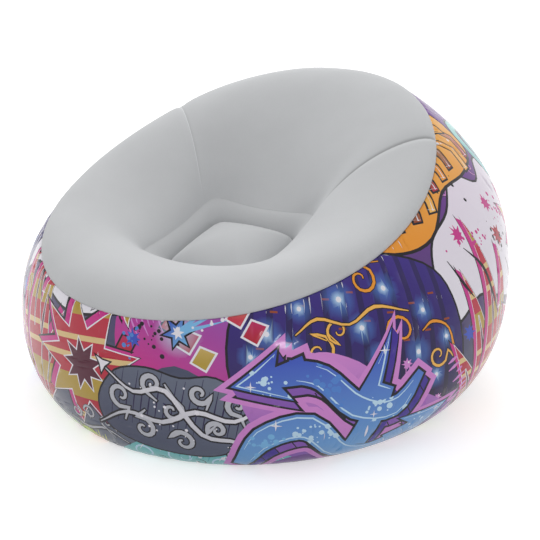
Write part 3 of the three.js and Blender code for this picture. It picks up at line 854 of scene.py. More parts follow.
class Design:
    """The layers of the print, the lowest first."""

    def __init__(self):
        self.layers = []

    def lay(self, outline, ink, to=None, axis=None, within=None, cover=(1, 1), cut=True):
        """One flat shape, shown inside the outline that it is within. It fades to a second ink along axis.

        An axis is x, y to x, y, or it is a middle x, y and a radius. Cover is how much each ink hides.
        """
        inks = linear_ink(ink), linear_ink(to or ink)
        self.layers.append(Layer(np.array(outline, float), within, inks, axis, cover, cut))

    def edged(self, outline, width, edge, ink, to=None, axis=None):
        """A shape with a rim of another ink round it."""
        self.lay(swollen(outline, width), edge)
        self.lay(outline, ink, to, axis)

    def glow(self, x, y, radius, ink, strength=0.9):
        """A soft round spot of spray."""
        self.lay(disc(x, y, radius, 20), ink, axis=(x, y, radius), cover=(strength, 0), cut=False)

    def stroke(self, points, widths, ink, steps, edge=None, edge_width=THIN_EDGE):
        """A brush stroke, with an edge of another ink round it if one is named."""
        shape = ribbon(points, widths, steps)
        if edge:
            self.edged(shape, edge_width, edge, ink)
        else:
            self.lay(shape, ink)

    def blocks(self, outline, shift, inks, every=0):
        """The sides of a block that stands out from the wall, with short lines on them."""
        ends = outline + np.array(shift)
        following, following_ends = np.roll(outline, -1, 0), np.roll(ends, -1, 0)
        for a, b, c, d in zip(outline, following, following_ends, ends):
            slope = abs((b - a)[1]) / (np.linalg.norm(b - a) + TINY)
            self.lay([a, b, c, d], inks[0] if slope > BLOCK_STEEP_SHARE else inks[1])
        for a, d in list(zip(outline, ends))[:: every or len(outline) + 1]:
            self.lay(ribbon([a, (a + d) / 2, d], (BLOCK_LINE_WIDTH, BLOCK_LINE_WIDTH), 1), "black")

    def solid_forms(self, forms, shift, sides, ink, to, axis, halo=None, line=0.007, every=2):
        """Joined forms with sides like blocks, a thick dark outline and one fade of ink over all."""
        shift = np.array(shift)
        for form in forms if halo else ():
            self.lay(swollen(form, line + HALO_WIDTH), halo)
            self.lay(swollen(form + shift, line + HALO_WIDTH), halo)
        for form in forms:
            self.lay(swollen(form + shift, line), "black")
        for form in forms:
            self.blocks(form, shift, sides, every)
        for form in forms:
            self.lay(swollen(form, line), "black")
        for form in forms:
            self.lay(form, ink, to, axis)

    def striped(self, form, shift):
        """A crimson form with gilt stripes, a white line and a dark one round it, and magenta sides."""
        self.lay(swollen(form, BOLD_EDGE), "black")
        self.lay(swollen(form + np.array(shift), BOLD_EDGE), "black")
        self.blocks(form, shift, ("magenta", "magenta"))
        x = form[0][0]
        self.edged(form, FINE_EDGE, "white", "crimson", "rose", (x, 0.1, x + 0.1, 0.6))
        left, right = form[:, 0].min() - 0.01, form[:, 0].max() + 0.01
        rise = GILT_SLOPE * (right - left)
        for low, high, ink in GILT:
            band = [(left, low), (right, low + rise), (right, high + rise), (left, high)]
            self.lay(band, ink, within=form)

    def inside_lines(self, form, first, last, inset, width, ink):
        """A highlight that follows part of a form's edge, a little inside it."""
        line = np.roll(swollen(form, -inset), -first, 0)[: last - first]
        self.lay(ribbon(line, (0.3 * width, width, width, 0.3 * width), 1), ink)

    def bubbles(self, x, y, wide, high, count, ink, seed, largest, within=None):
        """Small round drops scattered about a place."""
        rng = np.random.default_rng(seed)
        for _ in range(count):
            dx, dy = rng.normal(0, BUBBLE_SPREAD, 2)
            radius = largest * rng.uniform(0.2, 1.0) ** 1.6 + BUBBLE_LEAST_RADIUS
            sides = 5 + int(BUBBLE_SIDES_PER_METRE * radius)
            self.lay(disc(x + dx * wide, y + dy * high, radius, sides), ink, within=within)

    def hatch(self, start, step, count, reach, width, ink, wobble=0.0, within=None):
        """Tapered strokes side by side, each a step further on, with uneven lengths."""
        for k in range(count):
            a = np.array(start) + k * np.array(step)
            b = a + np.array(reach) * (1 + wobble * math.sin(2.4 * k))
            self.lay(ribbon([a, (a + b) / 2, b], (0.3 * width, width, 0.3 * width), 1), ink, within=within)

    def drips(self, places, width, ink):
        """Runs of paint with a drop at the end, each from x, y and down by a length."""
        for x, y, length in places:
            line = [(x, y - share * length) for share in (0, 0.45, 0.85, 1)]
            self.lay(ribbon(line, (1.4 * width, 0.5 * width, width, 0.2 * width), 2), ink)

    def glints(self, places):
        """Small white four-pointed lights, each an x, a y and a reach."""
        for x, y, reach in places:
            self.lay(star(x, y, reach, 0.2 * reach, 4), "white")

    def curl(self, x, y, reach, turn, width, ink, tail, edge="black", turns=1.2):
        """A scroll that opens outwards and runs on into a tail."""
        line = spiral(x, y, 0.16 * reach, reach, turns, turn, 8)
        line = np.concatenate((line, [line[-1] + np.array(tail) * 0.5, line[-1] + tail]))
        self.stroke(line, (0.5 * width, width, 1.3 * width, 0.4 * width), ink, 2, edge, 0.35 * width)


def draw_ground(art):
    """The painted wall behind the motifs: small scrolls, dusk, a sheet of paper, water and a sunset."""
    art.lay(box(-0.1, -0.02, 1.25, 0.24), "slate", "storm", (0, 0, 0, 0.24))
    art.lay(box(-0.1, 0.24, 1.25, 0.9), "storm", "purple", (0, 0.24, 0, 0.6))
    for k in range(24):
        x, y = -0.03 + 0.05 * k, 0.50 + 0.035 * (k * 3 % 4)
        ink = ("ice", "lilac", "lime", "sky")[k % 4]
        art.curl(x, y, 0.020, 60 * k, 0.0035, ink, (0.02, -0.02), turns=1.1)
    dusk = smooth([
        (-0.04, 0.20), (0.07, 0.25), (0.20, 0.21), (0.21, 0.34), (0.18, 0.43), (0.05, 0.45), (-0.05, 0.36),
    ])
    art.lay(dusk, "magenta", "violet", (0.0, 0.22, 0.1, 0.45))
    paper = smooth([
        (0.66, 0.33), (0.76, 0.37), (0.86, 0.34), (0.96, 0.31), (1.08, 0.33), (1.16, 0.36), (1.17, 0.52),
        (1.10, 0.60), (0.99, 0.57), (0.90, 0.62), (0.78, 0.55), (0.68, 0.50), (0.64, 0.42),
    ])
    art.edged(paper, 0.006, "black", "white", "lilac", (1.1, 0.35, 1.0, 2.2))
    shallows = smooth([
        (-0.06, -0.02), (-0.04, 0.05), (0.06, 0.085), (0.16, 0.075), (0.28, 0.09), (0.40, 0.05),
        (0.42, -0.02),
    ])
    art.lay(shallows, "mint", "teal", (0.2, -0.01, 0.2, 0.09))
    sunset = smooth([
        (0.17, 0.54), (0.30, 0.50), (0.44, 0.52), (0.56, 0.49), (0.68, 0.51), (0.82, 0.60), (0.98, 0.61),
        (1.12, 0.64), (1.16, 0.80), (0.9, 0.88), (0.5, 0.86), (0.24, 0.80),
    ])
    art.edged(sunset, 0.007, "black", "orange", "amber", (0.6, 0.52, 0.6, 0.8))


def draw_bricks(art):
    """Rows of bricks that show through between the motifs."""
    for row in range(5):
        y = 0.010 + row * 0.026
        for k in range(5):
            x = 0.405 + 0.044 * k + 0.022 * (row % 2)
            brick = box(x, y, x + 0.039, y + 0.021)
            art.lay(brick, "slate", "silver", (x, y - 0.03, x, y + 0.12), cover=(0.7, 0.7))


def draw_night(art):
    """A night sky with lights between dark planks, lilac drops and amber scrolls."""
    night = smooth([
        (0.19, 0.21), (0.30, 0.17), (0.44, 0.14), (0.58, 0.13), (0.67, 0.19), (0.67, 0.36), (0.62, 0.46),
        (0.44, 0.50), (0.27, 0.47), (0.18, 0.36),
    ])
    art.edged(night, BOLD_EDGE, "black", "navy", "indigo", (0.45, 0.14, 0.40, 0.60))
    for k in range(12):
        x = 0.205 + 0.038 * k
        art.lay(box(x, 0.1, x + 0.013, 0.52, lean=0.003), "black", within=night, cover=(0.5, 0.5))
    for k in range(16):
        x, y = 0.225 + 0.027 * k, 0.300 + 0.014 * (k * 5 % 9)
        art.lay(box(x, y, x + 0.015, y + 0.004), "rust", within=night)
    for x, y, reach in (
        (0.215, 0.285, 0.028), (0.245, 0.330, 0.034), (0.285, 0.300, 0.040), (0.465, 0.290, 0.030),
        (0.60, 0.235, 0.030), (0.435, 0.345, 0.034), (0.395, 0.400, 0.040), (0.555, 0.290, 0.034),
        (0.58, 0.370, 0.030), (0.50, 0.420, 0.036), (0.31, 0.380, 0.030), (0.63, 0.310, 0.026),
        (0.245, 0.420, 0.030),
    ):
        art.glow(x, y, reach, "blue")
        art.glow(x, y, 0.45 * reach, "ice", 1.0)
        art.lay(disc(x, y, 0.12 * reach + BUBBLE_LEAST_RADIUS, 8), "white")
    drops = ((0.490, 0.245, 0.015), (0.527, 0.268, 0.012), (0.560, 0.228, 0.020), (0.612, 0.180, 0.013))
    for x, y, reach in drops:
        art.lay(splat(x, y, 0.80 * reach, 8, int(1000 * x)), "lilac")
        top = y - 0.4 * reach
        runs = [(x - 0.3 * reach, top, 1.6 * reach), (x + 0.4 * reach, top, 1.2 * reach)]
        art.drips(runs, 0.003, "lilac")
        art.lay(disc(x + 0.25 * reach, y + 0.3 * reach, 0.18 * reach, 6), "white")
    for x, y, reach, turn, width, ink, tail in (
        (0.345, 0.300, 0.036, 40, 0.0045, "amber", (0.030, -0.012)),
        (0.385, 0.340, 0.026, 200, 0.004, "amber", (-0.02, 0.02)),
        (0.520, 0.335, 0.034, 120, 0.0045, "orange", (0.03, 0.01)),
        (0.605, 0.275, 0.028, 300, 0.0045, "amber", (0.03, -0.03)),
        (0.455, 0.440, 0.036, 10, 0.005, "orange", (0.05, 0.0)),
    ):
        art.curl(x, y, reach, turn, width, ink, tail)
    vine = [(0.300, 0.330), (0.345, 0.362), (0.410, 0.352), (0.470, 0.385), (0.545, 0.372)]
    right_vine = [(0.570, 0.330), (0.600, 0.345), (0.640, 0.325), (0.655, 0.255), (0.675, 0.215)]
    for line, ink in ((vine, "amber"), (right_vine, "orange")):
        art.stroke(line, (0.002, 0.006, 0.004, 0.007, 0.002), ink, 4, "black", 0.002)


def draw_foot_waves(art):
    """Pale crests, thin black ripples and drops on the water along the foot."""
    for k, size in enumerate((0.9, 1.1, 0.8, 1.0, 0.7)):
        x, y = -0.015 + 0.085 * k, 0.028 + 0.008 * (k % 2)
        crest = spiral(x, y, 0.004 * size, 0.036 * size, 1.2, 200)
        foam = spiral(x + 0.020, y + 0.006, 0.024 * size, 0.036 * size, 0.4, 30)
        curve = spiral(x + 0.036, y - 0.012, 0.003, 0.014 * size, 1.1, 90)
        art.stroke(crest, (0.002, 0.006, 0.002), "ice", 2)
        art.stroke(foam, (0.001, 0.004, 0.001), "white", 2)
        art.stroke(curve, (0.0015, 0.0025, 0.0015), "black", 2)
    art.hatch((0.06, 0.064), (0.012, -0.001), 7, (-0.008, -0.022), 0.003, "teal", 0.3)
    art.bubbles(0.20, 0.055, 0.12, 0.012, 16, "white", 21, 0.004)


def draw_blue_arrows(art):
    """Interlaced arrows with block sides, bubbles and pale inner lines."""
    splash = smooth([
        (0.20, 0.18), (0.23, 0.25), (0.30, 0.285), (0.36, 0.30), (0.44, 0.27), (0.47, 0.21), (0.56, 0.205),
        (0.64, 0.16), (0.70, 0.10), (0.62, 0.06), (0.45, 0.07), (0.30, 0.06),
    ], 4)
    art.lay(splash, "lilac", "violet", (0.4, 0.30, 0.42, 0.08))
    shade = [(0.24, 0.015), (0.32, 0.07), (0.46, 0.055), (0.56, 0.03), (0.53, -0.01), (0.34, -0.015)]
    art.lay(smooth(shade, 4), "purple")
    right_wave = ribbon(
        [(0.190, 0.030), (0.240, 0.115), (0.325, 0.145), (0.395, 0.075), (0.470, 0.060), (0.540, 0.100)],
        (0.030, 0.054, 0.060, 0.054, 0.048, 0.044), 4,
    )
    left_wave = ribbon(
        [(0.560, 0.250), (0.500, 0.182), (0.420, 0.190), (0.350, 0.250), (0.285, 0.262)],
        (0.016, 0.046, 0.056, 0.050, 0.044), 4,
    )
    right_head = arrow((0.505, 0.080), (0.650, 0.165), 0.040, 0.052)
    left_head = arrow((0.320, 0.266), (0.178, 0.222), 0.040, 0.052)
    bolt = np.array([
        (0.400, 0.095), (0.440, 0.200), (0.416, 0.210), (0.500, 0.345), (0.470, 0.235), (0.496, 0.225),
        (0.452, 0.085),
    ])
    forms = (right_wave, left_wave, right_head, left_head, bolt)
    axis = (0.4, 0.02, 0.36, 0.30)
    art.solid_forms(forms, (0.012, -0.018), ("indigo", "violet"), "sky", "deep blue", axis, "lilac", 0.0055)
    lit_edges = ((right_wave, 1, 18), (right_wave, 24, 40), (left_wave, 1, 14), (left_wave, 18, 32))
    for form, first, last in lit_edges:
        art.inside_lines(form, first, last, 0.007, 0.0035, "ice")
    for form in (right_head, left_head, bolt):
        twice = np.repeat(form, 2, 0)
        art.inside_lines((twice + np.roll(twice, -1, 0)) / 2, 3, 9, 0.006, 0.003, "ice")
    for form, x, y, count, ink in (
        (right_wave, 0.24, 0.10, 34, "sky"), (right_wave, 0.33, 0.13, 30, "ice"),
        (left_wave, 0.36, 0.23, 34, "blue"), (left_wave, 0.47, 0.19, 24, "ice"),
        (right_head, 0.58, 0.12, 20, "ice"), (left_head, 0.24, 0.24, 18, "ice"),
    ):
        art.bubbles(x, y, 0.05, 0.05, count, ink, int(1000 * x), 0.006, form)
    art.glints((
        (0.262, 0.148, 0.013), (0.620, 0.150, 0.011), (0.478, 0.300, 0.012), (0.215, 0.226, 0.011),
        (0.455, 0.170, 0.009),
    ))


def draw_crimson_fan(art):
    """A fan of striped crimson spikes with hatched pink edges."""
    root = np.array((0.812, 0.045))
    for tip in ((0.652, 0.285), (0.945, 0.300), (0.718, 0.425), (0.896, 0.440), (0.808, 0.525)):
        art.striped(spike(root, tip, 0.038), (-0.014, 0.010))
        along = np.array(tip) - root
        slash = ribbon([root + along * share for share in (0.40, 0.56, 0.74)], (0.001, 0.008, 0.001), 2)
        art.edged(slash, 0.002, "white", "maroon")
    art.hatch((0.662, 0.262), (0.0088, -0.0135), 13, (-0.028, -0.012), 0.008, "lilac", 0.35)
    sweep = [(0.760, 0.470), (0.800, 0.420), (0.815, 0.360), (0.842, 0.300)]
    art.stroke(sweep, (0.002, 0.010, 0.008, 0.002), "black", 3)
    art.stroke([(0.690, 0.455), (0.715, 0.400), (0.738, 0.368)], (0.002, 0.009, 0.002), "black", 3)
    art.lay(splat(0.765, 0.500, 0.018, 9, 31), "magenta")
    art.lay(splat(0.925, 0.455, 0.022, 9, 32), "crimson")
    art.lay(splat(0.705, 0.300, 0.015, 8, 33), "deep blue")
    art.bubbles(0.81, 0.48, 0.12, 0.03, 22, "magenta", 34, 0.005)
    art.bubbles(0.93, 0.46, 0.05, 0.04, 14, "black", 35, 0.004)
    art.glints(((0.742, 0.118, 0.012), (0.846, 0.318, 0.012), (0.916, 0.232, 0.010)))


def draw_crimson_bursts(art):
    """A large striped burst with a small one behind it."""
    for x, y, reach, notch, rays, turn in (
        (1.095, 0.415, 0.105, 0.050, 7, 10), (1.004, 0.205, 0.148, 0.078, 9, -8),
    ):
        art.striped(star(x, y, reach, notch, rays, turn), (-0.016, 0.009))
        heart = star(x, y, reach * HEART_SHARE, notch * HEART_SHARE, rays, turn)
        art.edged(heart, FINE_EDGE, "white", "maroon")
    art.lay(splat(0.955, 0.525, 0.018, 9, 7), "magenta")
    art.bubbles(1.00, 0.50, 0.08, 0.03, 18, "magenta", 9, 0.005)
    art.lay(splat(1.135, 0.290, 0.015, 8, 8), "deep blue")
    art.bubbles(1.13, 0.29, 0.03, 0.05, 14, "blue", 10, 0.004)
    art.stroke([(0.935, 0.40), (0.958, 0.35), (0.950, 0.295)], (0.002, 0.011, 0.002), "black", 3)
    art.stroke([(1.105, 0.535), (1.135, 0.475), (1.130, 0.405)], (0.002, 0.012, 0.002), "black", 3)
    art.glints(((1.050, 0.232, 0.012), (0.990, 0.390, 0.010), (1.112, 0.336, 0.010)))


def draw_upper_left(art):
    """Shards and a comet over the scrollwork, and a spiral higher up."""
    for k in range(9):
        x, y = -0.055 + 0.032 * k, 0.262 + 0.030 * (k * 4 % 5)
        shard = np.array([(x, y), (x + 0.016, y + 0.030), (x + 0.044, y + 0.022), (x + 0.026, y - 0.012)])
        ink, to = ("crimson", "ochre", "deep blue", "rose")[k % 4], ("magenta", "cream")[k % 2]
        art.edged(shard, THIN_EDGE, "white" if k % 3 else "black", ink, to, (x, y, x, y + 0.08))
    art.hatch((-0.04, 0.335), (0.010, 0.004), 10, (0.020, -0.035), 0.004, "lilac", 0.4)
    middle = np.array((0.075, 0.315))
    art.glow(*middle, 0.05, "ice", 0.8)
    comet = star(*middle, 0.030, 0.013, 6, 15)
    art.edged(comet, THIN_EDGE, "black", "deep blue", "sky", (0.05, 0.33, 0.10, 0.30))
    for turn in (20, 32, 44):
        angle = math.radians(turn)
        tip = middle + 0.10 * np.array((math.cos(angle), math.sin(angle)))
        art.stroke([middle, (middle + tip) / 2, tip], (0.010, 0.006, 0.001), "sky", 1)
    art.lay(star(*middle, 0.014, 0.006, 6, 15), "white")
    art.bubbles(0.10, 0.35, 0.10, 0.04, 26, "white", 41, 0.005)
    art.bubbles(0.02, 0.30, 0.06, 0.04, 16, "black", 42, 0.004)
    coil = ribbon(spiral(0.06, 0.60, 0.012, 0.09, 1.7, 10), (0.012, 0.026, 0.034), 2)
    axis = (0.06, 0.68, 0.06, 0.50)
    art.solid_forms([coil], (0.012, -0.016), ("indigo", "purple"), "mint", "teal", axis, every=3)


def draw_scrollwork(art):
    """Silver scrolls that branch from two swept stems, over a slate cloud."""
    cloud = smooth([
        (-0.105, 0.150), (-0.060, 0.215), (0.010, 0.235), (0.080, 0.225), (0.150, 0.235), (0.215, 0.190),
        (0.205, 0.110), (0.150, 0.060), (0.060, 0.050), (-0.030, 0.060), (-0.095, 0.090),
    ], 4)
    art.edged(cloud, THIN_EDGE, "black", "storm", "slate", (0, 0.05, 0.1, 0.24))
    art.hatch((-0.080, 0.105), (0.0165, 0.000), 17, (0.022, 0.110), 0.0030, "navy", 0.15, cloud)
    lines = (
        [(-0.115, 0.085), (-0.040, 0.130), (0.040, 0.125), (0.110, 0.160), (0.185, 0.150), (0.255, 0.205)],
        [(-0.085, 0.215), (-0.020, 0.180), (0.050, 0.195), (0.120, 0.110), (0.190, 0.100), (0.240, 0.060)],
    )
    stems = [ribbon(line, (0.002, 0.008, 0.010, 0.009, 0.003), 4) for line in lines]
    for stem in stems:
        art.lay(swollen(stem, THIN_EDGE), "black")
    for x, y, reach, turn, tail in (
        (-0.050, 0.165, 0.026, 250, (-0.012, -0.030)), (-0.004, 0.100, 0.024, 60, (0.020, 0.020)),
        (0.022, 0.205, 0.020, 190, (0.020, -0.014)), (0.062, 0.155, 0.022, 20, (-0.020, 0.030)),
        (0.080, 0.085, 0.024, 110, (0.028, 0.016)), (0.118, 0.200, 0.020, 300, (-0.010, -0.030)),
        (0.150, 0.125, 0.018, 150, (0.018, 0.020)), (0.190, 0.185, 0.020, 230, (0.010, -0.026)),
        (0.180, 0.065, 0.018, 40, (0.024, 0.018)),
    ):
        art.curl(x, y, 1.15 * reach, turn, 0.0082, "silver", tail, turns=1.15)
    for stem in stems:
        art.lay(stem, "silver", "white", (0, 0.05, 0.1, 0.25))
    for x, y, turn in ((0.262, 0.212, 55), (0.246, 0.052, 130), (-0.092, 0.222, -50)):
        art.edged(star(x, y, 0.020, 0.007, 3, turn), THIN_EDGE, "black", "white")
    art.bubbles(0.07, 0.14, 0.14, 0.08, 22, "white", 51, 0.0035, cloud)


def draw_road(art):
    """A bold dark band with a pale edge and a pale kerb, lime hatching and small curls."""
    band = [(0.560, 0.008), (0.610, 0.034), (0.645, 0.090), (0.725, 0.096)]
    art.stroke(band, (0.022, 0.022, 0.020, 0.016), "black", 1, "white", BOLD_EDGE)
    kerb = [(0.600, 0.004), (0.642, 0.032), (0.672, 0.072), (0.740, 0.076)]
    art.stroke(kerb, (0.006, 0.008, 0.007, 0.004), "white", 1)
    art.hatch((0.632, 0.020), (0.0065, 0.0075), 8, (0.062, 0.026), 0.0038, "lime", 0.2)
    art.hatch((0.655, 0.006), (0.0075, 0.0060), 6, (-0.012, 0.034), 0.0030, "lime", 0.3)
    art.curl(0.455, 0.030, 0.016, 120, 0.0030, "black", (0.022, -0.004), None, 1.5)
    art.curl(0.495, 0.022, 0.013, 300, 0.0028, "black", (0.020, 0.006), None, 1.3)
    art.curl(0.535, 0.036, 0.014, 20, 0.0030, "white", (0.020, 0.010), None, 1.3)
    art.glints(((0.575, 0.052, 0.010), (0.428, 0.052, 0.009), (0.700, 0.108, 0.009)))


def draw_low_hills(art):
    """Green and lime hills with rust and orange leaves along the foot, and silver curls over them."""
    for k in range(5):
        x, odd = 0.700 + 0.062 * k, k % 2
        hill = smooth([
            (x - 0.035, -0.02), (x - 0.010, 0.024), (x + 0.030, 0.046 - 0.004 * odd), (x + 0.062, 0.022),
            (x + 0.075, -0.02),
        ], 3)
        edge, to = ("black", "white")[odd], ("lime", "green")[odd]
        ink = ("green", "lime", "teal", "lime", "green")[k]
        art.edged(hill, THIN_EDGE, edge, ink, to, (x, -0.02, x, 0.06))
        leaf = smooth([
            (x - 0.012, -0.01), (x + 0.012, 0.014), (x + 0.050, 0.026), (x + 0.070, 0.010),
            (x + 0.030, -0.012),
        ], 3)
        ink = ("rust", "orange", "maroon")[k % 3]
        art.edged(leaf, FINE_EDGE, "white", ink, "orange", (x, 0.0, x + 0.12, 0.06))
        art.curl(x + 0.036, 0.012, 0.009, 70 * k, 0.0022, "black", (0.014, 0.004), None)
    art.hatch((0.945, 0.022), (0.010, -0.001), 9, (0.008, 0.030), 0.0035, "lime", 0.3)
    ridge = [(0.93, 0.060), (0.985, 0.050), (1.045, 0.068), (1.10, 0.045)]
    art.stroke(ridge, (0.002, 0.007, 0.005, 0.002), "silver", 4, "black", FINE_EDGE)
    for k in range(4):
        x, y = 0.960 + 0.046 * k, 0.085 + 0.010 * (k % 2)
        art.curl(x, y, 0.018, 95 * k, 0.0042, "silver", (0.018, -0.018))


def draw_high_chevrons(art):
    """Amber, crimson and rust chevrons, shards and streaks high on the sides and back."""
    for k in range(14):
        x, y = 0.20 + 0.066 * k, 0.535 + 0.014 * (k % 3) + 0.070 * (k > 8)
        form = np.array([
            (x, y), (x + 0.022, y), (x + 0.054, y + 0.052), (x + 0.022, y + 0.104), (x, y + 0.104),
            (x + 0.032, y + 0.052),
        ])
        ink, to = ("amber", "crimson", "orange", "rust")[k % 4], ("orange", "cream")[k % 2]
        art.edged(form, BOLD_EDGE, "black", ink, to, (x, y, x, y + 0.15))
        art.inside_lines(np.repeat(form, 2, 0), 1, 6, 0.004, 0.003, "white")
    for k in range(11):
        x, y = 0.22 + 0.083 * k, 0.715 + 0.016 * (k % 2)
        form = np.array([(x, y), (x + 0.024, y + 0.042), (x + 0.074, y + 0.030), (x + 0.046, y - 0.022)])
        ink, line_ink = ("amber", "rust")[k % 2], "white" if k % 3 else "black"
        art.edged(form, BOLD_EDGE, "black", ink, "orange", (x, y - 0.03, x + 0.05, y + 0.05))
        art.hatch((x + 0.016, y + 0.004), (0.010, -0.001), 3, (0.010, 0.026), 0.003, line_ink)
    for k in range(16):
        x, y = 0.21 + 0.055 * k, 0.665 + 0.018 * (k * 3 % 4) + 0.025 * (k > 11)
        streak = [(x, y), (x + 0.020, y + 0.012), (x + 0.046, y - 0.004)]
        art.stroke(streak, (0.001, 0.006, 0.001), ("black", "white", "rust")[k % 3], 2)
    art.bubbles(0.65, 0.68, 0.45, 0.03, 44, "white", 12, 0.005)
    art.bubbles(0.55, 0.60, 0.40, 0.03, 30, "black", 13, 0.005)


def draw_print():
    """The layers of the whole print, from the ground up to the arrows."""
    design = Design()
    for draw in (
        draw_ground, draw_bricks, draw_night, draw_foot_waves, draw_high_chevrons, draw_upper_left, draw_road,
        draw_crimson_fan, draw_crimson_bursts, draw_low_hills, draw_scrollwork, draw_blue_arrows,
    ):
        draw(design)
    return design.layers


# Laying the print on the wall
LAP_WIDTH = 0.014
LAP_RAMP = 0.012
LAP_LIFT = 0.0002
WALL_TURN = (-math.pi, math.pi + LAP_WIDTH / PRINT_RADIUS)
WALL_CELL = 0.012
SEAM_ROWS = (0.0015, 0.003, 0.005, 0.008, 0.013, 0.02)
FOOT_ROWS = (0.004, 0.010, 0.018)
EDGE_COLUMNS = 900
WALL_ROWS = 45
TABLE_ANGLES, TABLE_STEPS, TABLE_PARTS = 480, 400, 300
CLIP_HALVINGS = 12
VALVE_TURN = math.radians(205 - 360)
VALVE_HEIGHT = 0.150
WALL_HOLE_RADIUS = 0.0155
WALL_HOLE_SIDES = 40
CUT_LENGTH = 0.06
CUT_GAP = 0.0003


def wall_table():
    """Even angles, the length of the wall's section at each, and the share at even parts of that length."""
    angles, shares = np.linspace(*WALL_TURN, TABLE_ANGLES + 1), np.linspace(0, 1, TABLE_STEPS + 1)
    angle_grid, share_grid = np.meshgrid(angles, shares, indexing="ij")
    runs = run_of(wall_at(angle_grid, share_grid), 1)
    parts = np.linspace(0, 1, TABLE_PARTS + 1)
    return angles, runs[:, -1], np.array([np.interp(parts * run[-1], run, share_grid[0]) for run in runs])


def blended(table, column, row):
    """Values between the four nearest entries of a table."""
    i = np.clip(column.astype(int), 0, table.shape[0] - 2)
    j = np.clip(row.astype(int), 0, table.shape[1] - 2)
    u, v = column - i, row - j
    low = table[i, j] * (1 - u) + table[i + 1, j] * u
    high = table[i, j + 1] * (1 - u) + table[i + 1, j + 1] * u
    return low * (1 - v) + high * v


